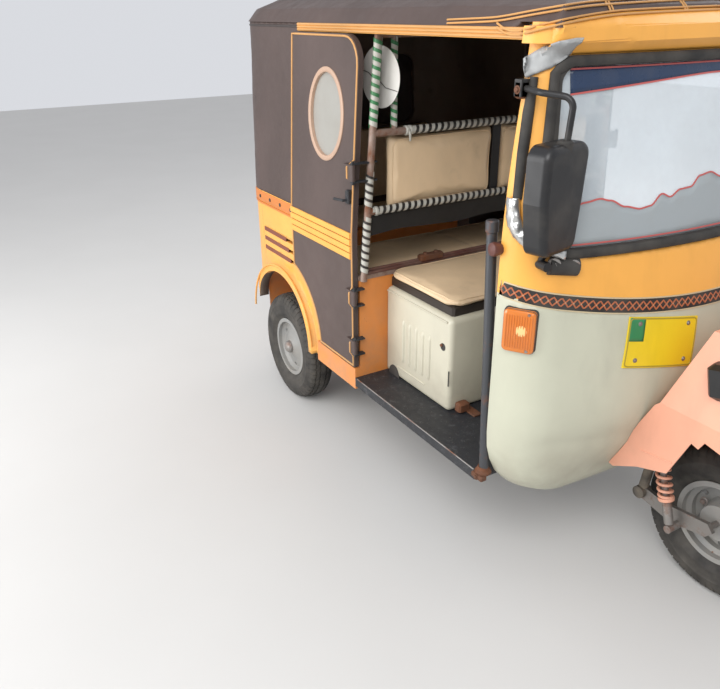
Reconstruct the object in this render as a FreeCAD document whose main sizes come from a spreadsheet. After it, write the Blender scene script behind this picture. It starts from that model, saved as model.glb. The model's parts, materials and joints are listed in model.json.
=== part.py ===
"""Three-wheeled auto rickshaw: steered front wheel, driver's bench, passenger cabin under a vinyl hood.

Frame: X forward, Y to the vehicle's left, Z up, origin on the ground under the middle. Millimetres.
"""
import FreeCAD, Part
import math
import os
import re

V = FreeCAD.Vector
doc = FreeCAD.newDocument("auto_rickshaw")

# Driving dimensions: alias, value, what it is
SIZES = [
    ("front_x", 1315, "fender lip"),
    ("front_axle_x", 1015, "front axle's place"),
    ("wheelbase", 1880, "front axle to rear axle"),
    ("track_half", 552, "rear tyres' middles from the centre line"),
    ("tyre_radius", 254, "5.00-10 tyre"),
    ("tyre_width", 126, "section width"),
    ("rim_radius", 138, "rim flange"),
    ("rim_width", 96, "over the flanges"),
    ("rim_sheet", 5, "rim's sheet"),
    ("hub_radius", 58, "brake drum and hub"),
    ("hub_half", 44, "front hub's half length"),
    ("pin_radius", 10, "front axle pin"),
    ("stub_radius", 16, "rear stub axles"),
    ("run_gap", 0.05, "radial running clearance"),
    ("rake", 24.6, "steering axis from the vertical, degrees"),
    ("steer_x", 983, "steering axis at hub height"),
    ("steerer_radius", 17, "steering column tube"),
    ("head_wall", 9, "steering head tube's wall"),
    ("head_low", 452, "steering head's lower end, along the steering axis from hub height"),
    ("head_length", 150, "steering head tube"),
    ("bar_high", 905, "handlebar, along the steering axis from hub height"),
    ("bar_half", 330, "handlebar's half width"),
    ("bar_back", 90, "handlebar ends behind the column"),
    ("fork_half", 94, "fork legs' half spacing"),
    ("leg_radius", 16, "fork leg tube"),
    ("link_back", 240, "swing arm pivot behind the axle"),
    ("link_wall", 14, "swing arm plates"),
    ("shock_half", 140, "front shocks' half spacing"),
    ("shock_radius", 24, "front shocks' springs"),
    ("body_half", 616, "rear body's half width"),
    ("wall", 22, "body wall"),
    ("sill_out", 24, "sills and bulkhead stand out from the rear body"),
    ("sill_low", 352, "sill's lower edge"),
    ("sill_top", 440, "sill's upper edge"),
    ("floor_z", 402, "floor's upper face"),
    ("floor_plate", 8, "floor plate"),
    ("belt_z", 972, "where the hood meets the tub"),
    ("hood_top", 1668, "hood walls' upper edge"),
    ("roof_rise", 112, "roof's rise above the walls"),
    ("roof_wall", 20, "roof panel"),
    ("gutter", 30, "side gutter's width"),
    ("tumblehome", 40, "how far the hood leans in at its top"),
    ("rear_lean", 40, "how far the rear wall leans back at its top"),
    ("rear_x", -1285, "rear wall's outer face"),
    ("corner_r", 240, "rear corners in plan"),
    ("tail_low", 480, "rear panel's lower edge"),
    ("arch_x", -850, "wheel arch's middle"),
    ("arch_z", 365, "wheel arch's middle"),
    ("arch_r", 300, "wheel arch over its lip"),
    ("arch_lip", 30, "wheel arch lip's width"),
    ("bulkhead_x", -175, "bulkhead's front face"),
    ("bulkhead_top", 800, "bulkhead's upper edge"),
    ("cabin_rear", -640, "passenger floor's rear edge"),
    ("bench_rear", -585, "bench behind the bulkhead, rear edge"),
    ("pad", 48, "bench cushions"),
    ("door_low", 446, "door's lower edge"),
    ("door_top", 1638, "door's upper edge"),
    ("door_rear", -680, "door's rear edge"),
    ("door_wall", 20, "door"),
    ("door_gap", 6, "door to body"),
    ("door_lap", 18, "door past the doorway's edge"),
    ("door_curve_x", -776, "middle of the door's curve over the wheel"),
    ("door_curve_z", 420, "middle of the door's curve over the wheel"),
    ("door_curve_r", 320, "door's curve over the wheel"),
    ("door_corner", 95, "door's upper front corner"),
    ("window_side", 236, "how far the rear window stays inside the body's sides"),
    ("window_low", 1170, "rear window's lower edge"),
    ("window_top", 1500, "rear window's upper edge"),
    ("hinge_x", -160, "door hinges' axis"),
    ("hinge_out", 5, "hinges' axis outboard of the door"),
    ("door_window_x", -395, "oval window's middle"),
    ("door_window_z", 1368, "oval window's middle"),
    ("door_window_wide", 118, "oval window's half width"),
    ("door_window_high", 148, "oval window's half height"),
    ("cowl_rear", 600, "cowl's rear edge"),
    ("cowl_wall", 20, "cowl wall"),
    ("screen_low", 1116, "windscreen opening's lower edge"),
    ("screen_top", 1606, "windscreen opening's upper edge"),
    ("screen_side", 16, "how far the windscreen opening stays inside the body's sides"),
    ("screen_corner", 96, "windscreen opening's corners"),
    ("seal_width", 26, "rubber seal"),
    ("seal_out", 5, "how far the seal stands out"),
    ("glass", 5, "windscreen"),
    ("fender_half", 256, "fender skirts' half width"),
    ("fender_wall", 4, "fender sheet"),
    ("lamp_width", 340, "headlamp"),
    ("lamp_height", 142, "headlamp"),
    ("seat_front", 235, "driver's seat box, front face"),
    ("seat_half", 500, "driver's seat box, half width"),
    ("seat_top", 758, "driver's seat box, upper edge"),
    ("riser", 38, "dark riser between the box and its cushion"),
    ("cushion", 26, "driver's cushion"),
    ("post_radius", 13, "partition tubes"),
    ("upper_rail", 1325, "partition's upper rail"),
    ("lower_rail", 1056, "partition's lower rail"),
    ("rod_x", 584, "guard rod's place"),
    ("rod_top", 1190, "guard rod's upper end"),
    ("rod_lean", 38, "how far the guard rod leans back"),
    ("rod_radius", 15, "guard rod"),
    ("rail_half", 270, "chassis rails' half spacing"),
    ("rail_width", 50, "chassis rail"),
    ("rail_height", 70, "chassis rail"),
    ("tow_radius", 12, "hole in the tow eye"),
    ("mirror_height", 270, "mirror housing"),
    ("mirror_width", 180, "mirror housing"),
    ("mirror_depth", 62, "mirror housing"),
    ("arm_radius", 8, "mirror arm tube"),
]
sheet = doc.addObject("Spreadsheet::Sheet", "dims")
for row, (alias, value, meaning) in enumerate(SIZES, 1):
    sheet.set(f"A{row}", str(value))
    sheet.setAlias(f"A{row}", alias)
    sheet.set(f"B{row}", meaning)
doc.recompute()


class Sizes:
    """Reads a size from the sheet by its alias."""

    def __getattr__(self, alias):
        return float(sheet.get(alias))


s = Sizes()
ALIASES = re.compile(r"\b(" + "|".join(alias for alias, _, _ in SIZES) + r")\b")
rear_axle_x = s.front_axle_x - s.wheelbase
nodes = []


def expr(text):
    """An expression on the sheet from one that names the aliases alone."""
    return ALIASES.sub(r"dims.\1", text)


def bind(obj, **props):
    """Binds an object's sizes to the sheet."""
    for name, text in props.items():
        obj.setExpression(name, expr(str(text)))
    return obj


def place(obj, x="0", y="0", z="0"):
    """Binds an object's position to the sheet."""
    for axis, text in zip("xyz", (x, y, z)):
        obj.setExpression(f"Placement.Base.{axis}", expr(str(text)))
    return obj


def box(name, x, y, z, length, width, height):
    """A block from its lowest corner, bound to the sheet."""
    made = bind(doc.addObject("Part::Box", name), Length=length, Width=width, Height=height)
    return place(made, x, y, z)


def node(obj, label):
    """Marks an object as one piece of the vehicle."""
    obj.Label = label
    nodes.append(obj)
    return obj


def fuse(name, *objs):
    made = doc.addObject("Part::MultiFuse", name)
    made.Shapes = list(objs)
    made.Refine = True
    return made


def cut(name, base, tool):
    made = doc.addObject("Part::Cut", name)
    made.Base = base
    made.Tool = tool
    return made


def feature(label, shape):
    """A piece whose shape is made in code from the sheet's sizes."""
    made = doc.addObject("Part::Feature", "F_" + label)
    made.Shape = shape
    return node(made, label)


def block(x0, x1, y0, y1, z0, z1):
    return Part.makeBox(x1 - x0, y1 - y0, z1 - z0, V(x0, y0, z0))


def bar(a, b, radius):
    """A straight round bar between two points."""
    a, b = V(*a), V(*b)
    return Part.makeCylinder(radius, (b - a).Length, a, b - a)


def tube(points, radius, bend):
    """A round bar along straight runs joined by arcs."""
    pts = [V(*p) for p in points]
    edges, start = [], pts[0]
    for i in range(1, len(pts) - 1):
        back, on = (pts[i - 1] - pts[i]).normalize(), (pts[i + 1] - pts[i]).normalize()
        half = back.getAngle(on) / 2
        reach = bend / math.tan(half)
        a, b = pts[i] + back * reach, pts[i] + on * reach
        middle = pts[i] + (back + on).normalize() * (bend / math.sin(half) - bend)
        edges += [Part.LineSegment(start, a).toShape(), Part.Arc(a, middle, b).toShape()]
        start = b
    edges.append(Part.LineSegment(start, pts[-1]).toShape())
    ring = Part.Wire(Part.makeCircle(radius, pts[0], pts[1] - pts[0]))
    return Part.Wire(edges).makePipeShell([ring], True, True)


def flat(points, y0, y1):
    """A side-view outline given a width from y0 to y1."""
    loop = [V(x, y0, z) for x, z in points]
    return Part.Face(Part.makePolygon(loop + loop[:1])).extrude(V(0, y1 - y0, 0))


def mirrored(shape):
    return shape.mirror(V(0, 0, 0), V(0, 1, 0))


def pair(shape):
    return Part.makeCompound([shape, mirrored(shape)])


def joined(*shapes):
    return shapes[0].multiFuse(list(shapes[1:])).removeSplitter()


# Plan outlines of the body

def rear_outline(z, half, rear, corner, front):
    """Level outline of the rear body: straight sides and round rear corners."""
    k = corner * (1 - math.sqrt(0.5))
    a, b = V(rear + corner, -half, z), V(rear, -half + corner, z)
    mid = V(rear + k, -half + k, z)
    mirror_y = [V(p.x, -p.y, p.z) for p in (a, b, mid)]
    edges = [
        Part.LineSegment(V(front, -half, z), a),
        Part.Arc(a, mid, b),
        Part.LineSegment(b, mirror_y[1]),
        Part.Arc(mirror_y[1], mirror_y[2], mirror_y[0]),
        Part.LineSegment(mirror_y[0], V(front, half, z)),
        Part.LineSegment(V(front, half, z), V(front, -half, z)),
    ]
    return Part.Wire([e.toShape() for e in edges])


def tub_block(inset, z0, z1):
    """The lower body's full form, less an inset."""
    wire = rear_outline(z0, s.body_half - inset, s.rear_x + inset, s.corner_r - inset, s.bulkhead_x - 20)
    return Part.Face(wire).extrude(V(0, 0, z1 - z0))


def hood_block(inset, z0, z1):
    """The upper body's full form, leaning in towards its top, less an inset."""
    wires = []
    for z in (s.belt_z, s.hood_top):
        share = (z - s.belt_z) / (s.hood_top - s.belt_z)
        wires.append(rear_outline(z, s.body_half - inset - s.tumblehome * share,
                                  s.rear_x + inset - s.rear_lean * share, s.corner_r - inset, s.bulkhead_x - 20))
    whole = Part.makeLoft(wires, True, True)
    return whole.common(block(-2000, 2000, -2000, 2000, z0, z1))


# Front cowl: height, reach before its rear edge, width beyond the rear body's, corner radius
NOSE = [
    (560, 240, 22, 150),
    (760, 276, 22, 175),
    (960, 242, 22, 150),
    (1130, 205, 20, 124),
    (1400, 145, 2, 86),
    (1680, 84, -28, 49),
]
# Its rounded underside, from the ground up
BOWL = [
    (322, 84, -176, 66),
    (340, 124, -106, 104),
    (370, 146, -56, 122),
    (410, 158, -20, 136),
    (460, 190, 4, 146),
    (510, 220, 18, 150),
    (560, 240, 22, 150),
]


def nose_outline(z, reach, beyond, corner, inset, back):
    """Level outline of the cowl: straight sides, round corners and a bowed front that meet without a crease."""
    x0 = s.cowl_rear
    half = s.body_half + beyond
    deep, across = reach - 2, half - corner
    bow = (deep ** 2 + across ** 2 - corner ** 2) / (2 * (deep - corner))
    xc, xn = x0 + 2, x0 + reach - inset
    xb = x0 + reach - bow
    w, r = half - inset, corner - inset
    a = math.atan2(across, xc - xb)
    side = V(xc, -w, z)
    knee = V(xc + r * math.cos((a + math.pi / 2) / 2), -across - r * math.sin((a + math.pi / 2) / 2), z)
    front = V(xc + r * math.cos(a), -across - r * math.sin(a), z)
    far = [V(p.x, -p.y, p.z) for p in (front, knee, side)]
    edges = [
        Part.LineSegment(V(x0 - back, -w, z), side),
        Part.Arc(side, knee, front),
        Part.Arc(front, V(xn, 0, z), far[0]),
        Part.Arc(far[0], far[1], far[2]),
        Part.LineSegment(far[2], V(x0 - back, w, z)),
        Part.LineSegment(V(x0 - back, w, z), V(x0 - back, -w, z)),
    ]
    return Part.Wire([e.toShape() for e in edges])


def nose_block(inset=0, back=0):
    """The cowl's full form, less an inset."""
    upper = Part.makeLoft([nose_outline(*row, inset, back) for row in NOSE], True, False)
    rows = [list(row) for row in BOWL]
    rows[0][0] += max(inset, 0)
    lower = Part.makeLoft([nose_outline(*row, inset, back) for row in rows], True, True)
    return upper.fuse(lower)


def steer(along, forward=0, side=0):
    """A point by its place along the steering axis, before it and beside it."""
    a = math.radians(s.rake)
    return V(s.steer_x - along * math.sin(a) + forward * math.cos(a), side,
             s.tyre_radius + along * math.cos(a) + forward * math.sin(a))


STEER_DIR = (steer(1) - steer(0))


def screen_prism(inset):
    """The windscreen's rounded outline, run along X."""
    w, z0, z1 = s.body_half - s.screen_side - inset, s.screen_low + inset, s.screen_top - inset
    r, x = s.screen_corner - inset, s.cowl_rear - 60
    top, rt = w - 30, 0.6 * r
    k, kt = r * (1 - math.sqrt(0.5)), rt * (1 - math.sqrt(0.5))

    def at(y, z):
        return V(x, y, z)

    edges = [
        Part.LineSegment(at(-w + r, z0), at(w - r, z0)),
        Part.Arc(at(w - r, z0), at(w - k, z0 + k), at(w, z0 + r)),
        Part.LineSegment(at(w, z0 + r), at(top, z1 - rt)),
        Part.Arc(at(top, z1 - rt), at(top - kt, z1 - kt), at(top - rt, z1)),
        Part.LineSegment(at(top - rt, z1), at(-top + rt, z1)),
        Part.Arc(at(-top + rt, z1), at(-top + kt, z1 - kt), at(-top, z1 - rt)),
        Part.LineSegment(at(-top, z1 - rt), at(-w, z0 + r)),
        Part.Arc(at(-w, z0 + r), at(-w + k, z0 + k), at(-w + r, z0)),
    ]
    return Part.Face(Part.Wire([e.toShape() for e in edges])).extrude(V(520, 0, 0))


SPLIT_RISE = 78  # how much higher the cowl's colour split stands at the sides


def below_split():
    """All that lies under the curved line between the cowl's two panels."""
    w, z, x = 720, s.belt_z - 26, 300
    line = Part.Arc(V(x, -w, z + SPLIT_RISE), V(x, 0, z), V(x, w, z + SPLIT_RISE)).toShape()
    rest = Part.makePolygon([V(x, w, z + SPLIT_RISE), V(x, w, 0), V(x, -w, 0), V(x, -w, z + SPLIT_RISE)])
    return Part.Face(Part.Wire([line] + rest.Edges)).extrude(V(900, 0, 0))


# Wheel well: the room that the fork and wheel sweep, along the steering axis and its radius
WELL = [(-60, 256), (90, 252), (436, 192)]


def well_block(extra=0):
    (a0, r0), (a1, r1), (a2, r2) = WELL
    low = Part.makeCone(r0 + extra, r1 + extra, a1 - a0, steer(a0), STEER_DIR)
    high = Part.makeCone(r1 + extra, r2 + extra, a2 + extra - a1, steer(a1), STEER_DIR)
    return low.fuse(high)


def make_cowl():
    """Front shell of two panels, its wheel well, windscreen seal and glass."""
    outer, inner = nose_block(), nose_block(s.cowl_wall, 40)
    shell = outer.cut(inner)
    liner = well_block(3).cut(well_block()).common(inner)
    liner = liner.cut(Part.makeCylinder(s.steerer_radius + s.head_wall + 2, 900, steer(0), STEER_DIR))
    shell = shell.cut(well_block()).cut(screen_prism(0))
    split = below_split()
    feature("cowl_lower", shell.common(split))
    feature("cowl_upper", shell.cut(split))
    feature("wheel_well", liner)
    ring = nose_block(-s.seal_out).cut(nose_block(s.cowl_wall + 2, 60))
    feature("windscreen_seal", ring.common(screen_prism(0).cut(screen_prism(s.seal_width))))
    pane = nose_block(6).cut(nose_block(6 + s.glass, 60))
    feature("windscreen_glass", pane.common(screen_prism(s.seal_width + 0.2)))


# Body behind the cowl

def side_cylinder(x, z, radius, y0=-900, y1=900):
    """A round cutter run across the vehicle."""
    return Part.makeCylinder(radius, y1 - y0, V(x, y0, z), V(0, 1, 0))


def door_outline(grow):
    """Side view of the door, cut back over the wheel; grow moves every edge out."""
    x0, x1 = s.door_rear - grow, s.bulkhead_x - 2 + grow
    z0, z1 = s.door_low - grow, s.door_top + grow
    r, cx, cz = s.door_curve_r - grow, s.door_curve_x, s.door_curve_z
    foot = cx + math.sqrt(r * r - (z0 - cz) ** 2)
    meet = cz + math.sqrt(r * r - (x0 - cx) ** 2)
    bend = math.radians(38)
    c = s.door_corner
    k = c * (1 - math.sqrt(0.5))

    def at(x, z):
        return V(x, 0, z)

    edges = [
        Part.LineSegment(at(foot, z0), at(x1, z0)),
        Part.LineSegment(at(x1, z0), at(x1, z1 - c)),
        Part.Arc(at(x1, z1 - c), at(x1 - k, z1 - k), at(x1 - c, z1)),
        Part.LineSegment(at(x1 - c, z1), at(x0, z1)),
        Part.LineSegment(at(x0, z1), at(x0, meet)),
        Part.Arc(at(x0, meet), at(cx + r * math.cos(bend), cz + r * math.sin(bend)), at(foot, z0)),
    ]
    return Part.Face(Part.Wire([e.toShape() for e in edges]))


def door_prism(grow, y0, y1):
    face = door_outline(grow)
    face.translate(V(0, y0, 0))
    return face.extrude(V(0, y1 - y0, 0))


def oval_prism(grow, y0, y1):
    """The oval window's outline, run across the door."""
    oval = Part.Ellipse(V(0, 0, 0), s.door_window_high + grow, s.door_window_wide + grow).toShape()
    face = Part.Face(Part.Wire([oval]))
    face.rotate(V(0, 0, 0), V(0, 0, 1), 90)
    face.rotate(V(0, 0, 0), V(1, 0, 0), 90)
    face.translate(V(s.door_window_x, y0, s.door_window_z))
    return face.extrude(V(0, y1 - y0, 0))


def make_body():
    """Tub and hood: two walls thick all round, with wheel arches, doorways and rear window."""
    tub = tub_block(0, s.sill_low, s.belt_z).cut(tub_block(s.wall, s.sill_low, s.belt_z))
    arch = side_cylinder(s.arch_x, s.arch_z, s.arch_r - s.arch_lip)
    lip = tub_block(-s.sill_out, s.sill_low, s.belt_z).cut(tub_block(0, s.sill_low, s.belt_z))
    lip = lip.common(side_cylinder(s.arch_x, s.arch_z, s.arch_r))
    doorway = door_prism(-s.door_lap, -900, 900)
    doorway = doorway.cut(side_cylinder(s.door_curve_x, s.door_curve_z, s.door_curve_r + s.door_lap))
    inboard = block(-2000, 2000, -s.body_half + s.wall + 30, s.body_half - s.wall - 30, 0, 2000)
    tub = tub.fuse(lip).cut(arch)
    tub = tub.cut(doorway.cut(inboard))
    tail = s.arch_x - s.arch_r + 40
    tub = tub.cut(block(-2000, tail, -900, 900, 0, s.tail_low))
    for i in range(3):
        z = s.arch_z + s.arch_r + 38 + 44 * i
        tub = tub.cut(block(-1025, s.door_rear - 40, -900, 900, z, z + 15).cut(inboard))
    seam = s.rear_x + s.corner_r
    feature("tub_right", tub.common(block(seam, 0, -900, 0, 0, 2000)))
    feature("tub_left", tub.common(block(seam, 0, 0, 900, 0, 2000)))
    feature("tub_rear", tub.common(block(-2000, seam, -900, 900, 0, 2000)))

    hood = hood_block(0, s.belt_z, s.hood_top).cut(hood_block(s.wall, s.belt_z - 5, s.hood_top + 5))
    hood = hood.cut(doorway.cut(inboard))
    front = s.door_rear + s.door_lap
    hood = hood.cut(block(front, 0, -900, 900, 0, s.door_top))
    hood = hood.common(block(-2000, front, -900, 900, 0, 2000))
    half = s.body_half - s.window_side
    window = block(s.rear_x - 200, s.rear_x + 400, -half, half, s.window_low, s.window_top)
    window = window.makeFillet(60, [e for e in window.Edges if abs(e.tangentAt(0).x) > 0.9])
    feature("hood", hood.cut(window))


def make_roof():
    """Domed roof over hood and cowl, its front visor and side gutters."""
    lean = s.tumblehome
    front = s.cowl_rear + 84
    levels = [(0, 0), (0.42, 34), (0.78, 120), (1, 260)]

    def dome(inset, drop):
        wires = []
        for share, step in levels:
            d = step + inset
            z = s.hood_top + share * s.roof_rise - drop
            wires.append(rear_outline(z, s.body_half + 6 - lean - d, s.rear_x - s.rear_lean + d - 6,
                                      max(s.corner_r - 0.4 * d, 60), front - d * 0.8))
        return Part.makeLoft(wires, True, True)

    roof = dome(0, 0).cut(dome(s.roof_wall, s.roof_wall)).cut(nose_block(-0.3, 60))
    bow = nose_block(-26, 0).cut(nose_block(-2, 60)).common(block(s.cowl_rear, 1000, -900, 900, 1634, 1672))
    half = s.body_half - lean + 10
    rail = block(s.door_rear + s.door_lap + 0.3, s.cowl_rear, -half, -half + s.gutter, s.hood_top - 28,
                 s.hood_top - 0.3)
    gutter = joined(bow, rail, mirrored(rail))
    feature("roof_gutter", gutter)
    feature("roof_canopy", roof.cut(gutter))


def make_floor():
    """Chassis rails, floors, sills, bulkhead and the bench built on it."""
    out = s.body_half + s.sill_out
    rail_z = s.floor_z - s.floor_plate - s.rail_height
    rails = []
    for side in (-1, 1):
        y = side * s.rail_half - s.rail_width / 2
        rails.append(block(-1240, s.cowl_rear - 2, y, y + s.rail_width, rail_z, rail_z + s.rail_height))
    for x in (-1240, -740, -480, s.bulkhead_x - 80, 250, 530):
        rails.append(block(x, x + 50, -s.rail_half - 10, s.rail_half + 10, rail_z + 8, rail_z + s.rail_height - 8))
    bracket = block(-1000, -950, -s.rail_half, -170.3, rail_z + 20, rail_z + 50)
    rails += [bracket, mirrored(bracket)]
    eye = block(-1272, -1240, -24, 24, rail_z + 22, rail_z + 34)
    rails.append(eye.cut(bar((-1254, 0, rail_z), (-1254, 0, rail_z + 60), s.tow_radius)))
    column = s.rod_x - 16
    tip = steer(s.head_low + 88, -20)
    down = tube([(column, 0, s.floor_z + 0.3), (column, 0, tip.z - 15), tip], 22, 60)
    head = Part.makeCylinder(s.steerer_radius + s.head_wall, s.head_length, steer(s.head_low), STEER_DIR)
    bore = Part.makeCylinder(s.steerer_radius + s.run_gap, s.head_length + 80, steer(s.head_low - 40), STEER_DIR)
    x, z = -s.front_x + 19, rail_z + s.rail_height / 2
    y = s.rail_half
    rails.append(tube([(-1238, -y, z), (x, -y, z), (x, y, z), (-1238, y, z)], 19, 36))
    feature("chassis_frame", joined(*rails))
    feature("steering_head", joined(head, down).cut(bore))

    floor = block(s.bulkhead_x + 0.3, s.cowl_rear - 2, -out, out, s.floor_z - s.floor_plate, s.floor_z)
    edge = block(s.bulkhead_x + 0.3, s.cowl_rear - 40, -out, -out + 14, s.floor_z - 36, s.floor_z)
    inner = s.body_half - s.wall - 1
    cabin = block(s.cabin_rear, s.bulkhead_x - 22, -inner, inner, s.floor_z - s.floor_plate, s.floor_z)
    cabin = cabin.cut(housings(0.3))
    sill = block(s.arch_x + s.arch_r + 60, s.bulkhead_x, -out, -s.body_half - 0.3, s.sill_low, s.sill_top)
    front = joined(floor, edge, mirrored(edge)).cut(well_block(3.3))
    feature("floor_pans", Part.makeCompound([front, cabin]))

    wall = block(s.bulkhead_x - 20, s.bulkhead_x, -out, out, s.sill_low, s.bulkhead_top)
    past = s.body_half - 0.3
    for side in (-1, 1):
        y0, y1 = sorted((side * past, side * (out + 5)))
        wall = wall.cut(block(s.bulkhead_x - 30, s.bulkhead_x + 5, y0, y1, s.sill_top, 2000))
    wall = wall.cut(joined(*rails))
    feature("bulkhead", joined(wall, sill, mirrored(sill)))
    top = s.bulkhead_top - s.pad
    base = block(s.bench_rear, s.bulkhead_x - 20.3, -inner, inner, top - 20, top)
    legs = block(s.bench_rear, s.bench_rear + 18, -inner, inner, s.floor_z + 0.3, top - 20)
    return joined(base, legs)


def housings(grow=0):
    """Outer form of the rear wheels' housings inside the cabin."""
    inner = s.body_half - s.wall - 6
    drum = side_cylinder(s.arch_x, s.arch_z, s.arch_r + 12 + grow, -inner - grow, -395 + grow)
    return drum.fuse(mirrored(drum))


def make_seats(front_bench):
    """Driver's seat box and the soft seats."""
    hollow = 3
    shell = box("seat_outer", "bulkhead_x + 0.3", "-seat_half", "floor_z + 0.3",
                "seat_front - bulkhead_x - 0.3", "2*seat_half", "seat_top - floor_z - 0.3")
    inside = box("seat_inner", f"bulkhead_x - 10", f"-seat_half + {hollow}", "floor_z - 10",
                 f"seat_front - bulkhead_x + 10 - {hollow}", f"2*seat_half - 2*{hollow}",
                 f"seat_top - floor_z + 10 - {hollow}")
    riser = box("seat_riser", "bulkhead_x + 22", "-seat_half + 22", "seat_top - 1",
                "seat_front - bulkhead_x - 44", "2*seat_half - 44", "riser + 1")
    node(fuse("seat_base", cut("seat_shell", shell, inside), riser), "driver_seat_box")
    seat = box("driver_pad", "bulkhead_x + 5", "-seat_half - 4", "seat_top + riser + 0.3",
               "seat_front - bulkhead_x - 1", "2*seat_half + 8", "cushion")
    node(seat, "driver_cushion")
    inner = s.body_half - s.wall - 6
    z = s.bulkhead_top - s.pad + 0.3
    front = block(s.bench_rear, s.bulkhead_x - 24, -inner, inner, z, z + s.pad)
    rear_edge = s.rear_x + s.wall
    bench = block(-925, -905, -410, 410, s.floor_z - s.floor_plate, s.bulkhead_top - s.pad)
    rails = s.rail_half + s.rail_width / 2 + 1
    bench = bench.cut(block(-2000, 0, -151, 151, 0, 430.5))
    bench = bench.cut(block(-2000, 0, -rails, rails, 0, s.floor_z - s.floor_plate + 0.3))
    deck = block(rear_edge + 4, -905, -inner + 4, inner - 4, s.bulkhead_top - s.pad - 18, s.bulkhead_top - s.pad)
    hollow = side_cylinder(s.arch_x, s.arch_z, s.arch_r + 6, -700, -399)
    housing = housings().cut(hollow).cut(mirrored(hollow))
    housing = housing.cut(block(-2000, 0, -900, 900, 0, s.sill_low + 4))
    whole = joined(bench, deck, housing).common(tub_block(s.wall + 2, 0, 2000))
    benches = Part.makeCompound([front_bench, whole])
    feature("bench_boxes", benches)
    soft = block(rear_edge + 66, -908, -inner, inner, z, z + s.pad).common(tub_block(s.wall + 4, 0, 2000))
    back = block(rear_edge + 0.3, rear_edge + 56, -inner + 150, inner - 150, z + s.pad + 0.3, z + 420)
    walls = hood_block(s.wall + 0.3, s.belt_z, s.hood_top).fuse(tub_block(s.wall + 0.3, 0, s.belt_z))
    back = back.common(walls)
    feature("bench_cushions", Part.makeCompound([front, soft]))
    return back


def make_partition(rear_back):
    """Tube frame between driver and passengers, its two padded backrests and the guard rods."""
    r = s.post_radius
    x, foot_y, top_y = s.bulkhead_x + 2 + r, s.body_half + 4, s.body_half - s.tumblehome + 10 - s.gutter - 0.3
    low, high = s.bulkhead_top + 0.3, s.hood_top - 30
    post = bar((x, -foot_y + r, low), (x, -top_y + r, high), r)
    inner_post = bar((x, -480, s.upper_rail), (x, -480, high), r - 3)
    frame = [post, mirrored(post), inner_post, mirrored(inner_post)]
    for z in (s.lower_rail, s.upper_rail):
        share = (z - low) / (high - low)
        y = foot_y + (top_y - foot_y) * share - r
        frame.append(bar((x, -y, z), (x, y, z), r))
    head = bar((x, -top_y + r, high), (x, top_y - r, high), r)
    latch_rail = block(s.bulkhead_x - 18, s.bulkhead_x + 4, -foot_y, foot_y, low, low + 16)
    feature("partition_frame", joined(*frame, head, latch_rail))
    pad = block(x - r - 42, x - r - 0.5, -485, -18, s.lower_rail - 5, s.upper_rail - 18)
    feature("backrests", Part.makeCompound([pad, mirrored(pad), rear_back]))
    rod_y = s.body_half + s.sill_out - s.rod_radius - 1
    guard = bar((s.rod_x, -rod_y, s.floor_z + 1), (s.rod_x - s.rod_lean, -rod_y, s.rod_top), s.rod_radius)
    feature("guard_rods", pair(guard))


def make_outside():
    """Mirrors, lamps, plate and dash."""
    mx, my, mz = s.cowl_rear + 142, s.body_half - 18, s.screen_low + 169
    w, h, d = s.mirror_width / 2, s.mirror_height / 2, s.mirror_depth
    form = [V(0, y, z) for y, z in ((-w, h), (w, h), (w - 10, 0), (w - 24, -h), (-w + 18, -h), (-w - 2, 0))]
    shell = Part.Face(Part.makePolygon(form + form[:1])).extrude(V(d, 0, 0))
    long_edges = [e for e in shell.Edges if abs(e.tangentAt(0).x) > 0.9 and abs(e.CenterOfMass.z) > 10]
    shell = shell.makeFillet(34, long_edges)
    shell = shell.makeFillet(18, [e for e in shell.Edges if e.BoundBox.XMin > d - 1])
    shell.translate(V(-d / 2, 0, 0))
    shell.rotate(V(0, 0, 0), V(0, 0, 1), 12)
    shell.translate(V(mx, -my, mz))
    x, z = s.cowl_rear + 12, s.screen_top - 71
    path = [(x, -my - 18, z), (x + 78, -my - 30, z - 5), (mx + 20, -my + 6, z - 13), (mx + 10, -my + 6, mz + 118)]
    arm = tube(path, s.arm_radius, 26)
    foot = block(x - 8, x + 16, -my - 36, -my - 8, z - 20, z + 20)
    lower = bar((mx - 12, -my + 6, mz - 128), (mx - 46, -my + 10, mz - 176), 9)
    clamp = bar((mx - 72, -my + 12, mz - 178), (mx - 8, -my + 4, mz - 178), 13)
    piece = joined(shell, arm, foot, lower, clamp).cut(nose_block(-s.seal_out - 0.3, 60))
    foot = foot.cut(nose_block(-0.3, 60))
    piece = joined(piece, foot)
    feature("mirrors", pair(piece))

    lamp = Part.makeBox(90, 88, 122, V(0, -44, -61))
    lamp = lamp.makeFillet(14, [e for e in lamp.Edges if abs(e.tangentAt(0).x) > 0.9])
    lamp.rotate(V(0, 0, 0), V(0, 0, 1), -58)
    lamp.translate(V(s.cowl_rear + 38, -s.body_half + 64, 918))
    band = nose_block(-34).cut(nose_block(-0.3, 60))
    feature("turn_lamps", pair(lamp.common(band)))

    plate = Part.makeBox(400, 240, 145, V(0, -120, -72.5))
    plate.rotate(V(0, 0, 0), V(1, 0, 0), -8)
    plate.translate(V(s.cowl_rear + 100, -232, 852))
    feature("front_plate", nose_block(-4).cut(nose_block(-0.5, 60)).common(plate))

    near, top = s.cowl_rear + 160, s.screen_low - 16
    tray = nose_block(s.cowl_wall + 1).common(block(near, 900, -520, 520, top - 14, top))
    pod = Part.makeBox(22, 190, 62, V(near, -95, top)).common(nose_block(s.cowl_wall + 3))
    feature("dashboard", joined(tray, pod))

    tail = s.rear_x
    lamp = block(tail - 24, tail - 0.5, -345, -265, 560, 700)
    feature("rear_lamps", pair(lamp))


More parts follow.
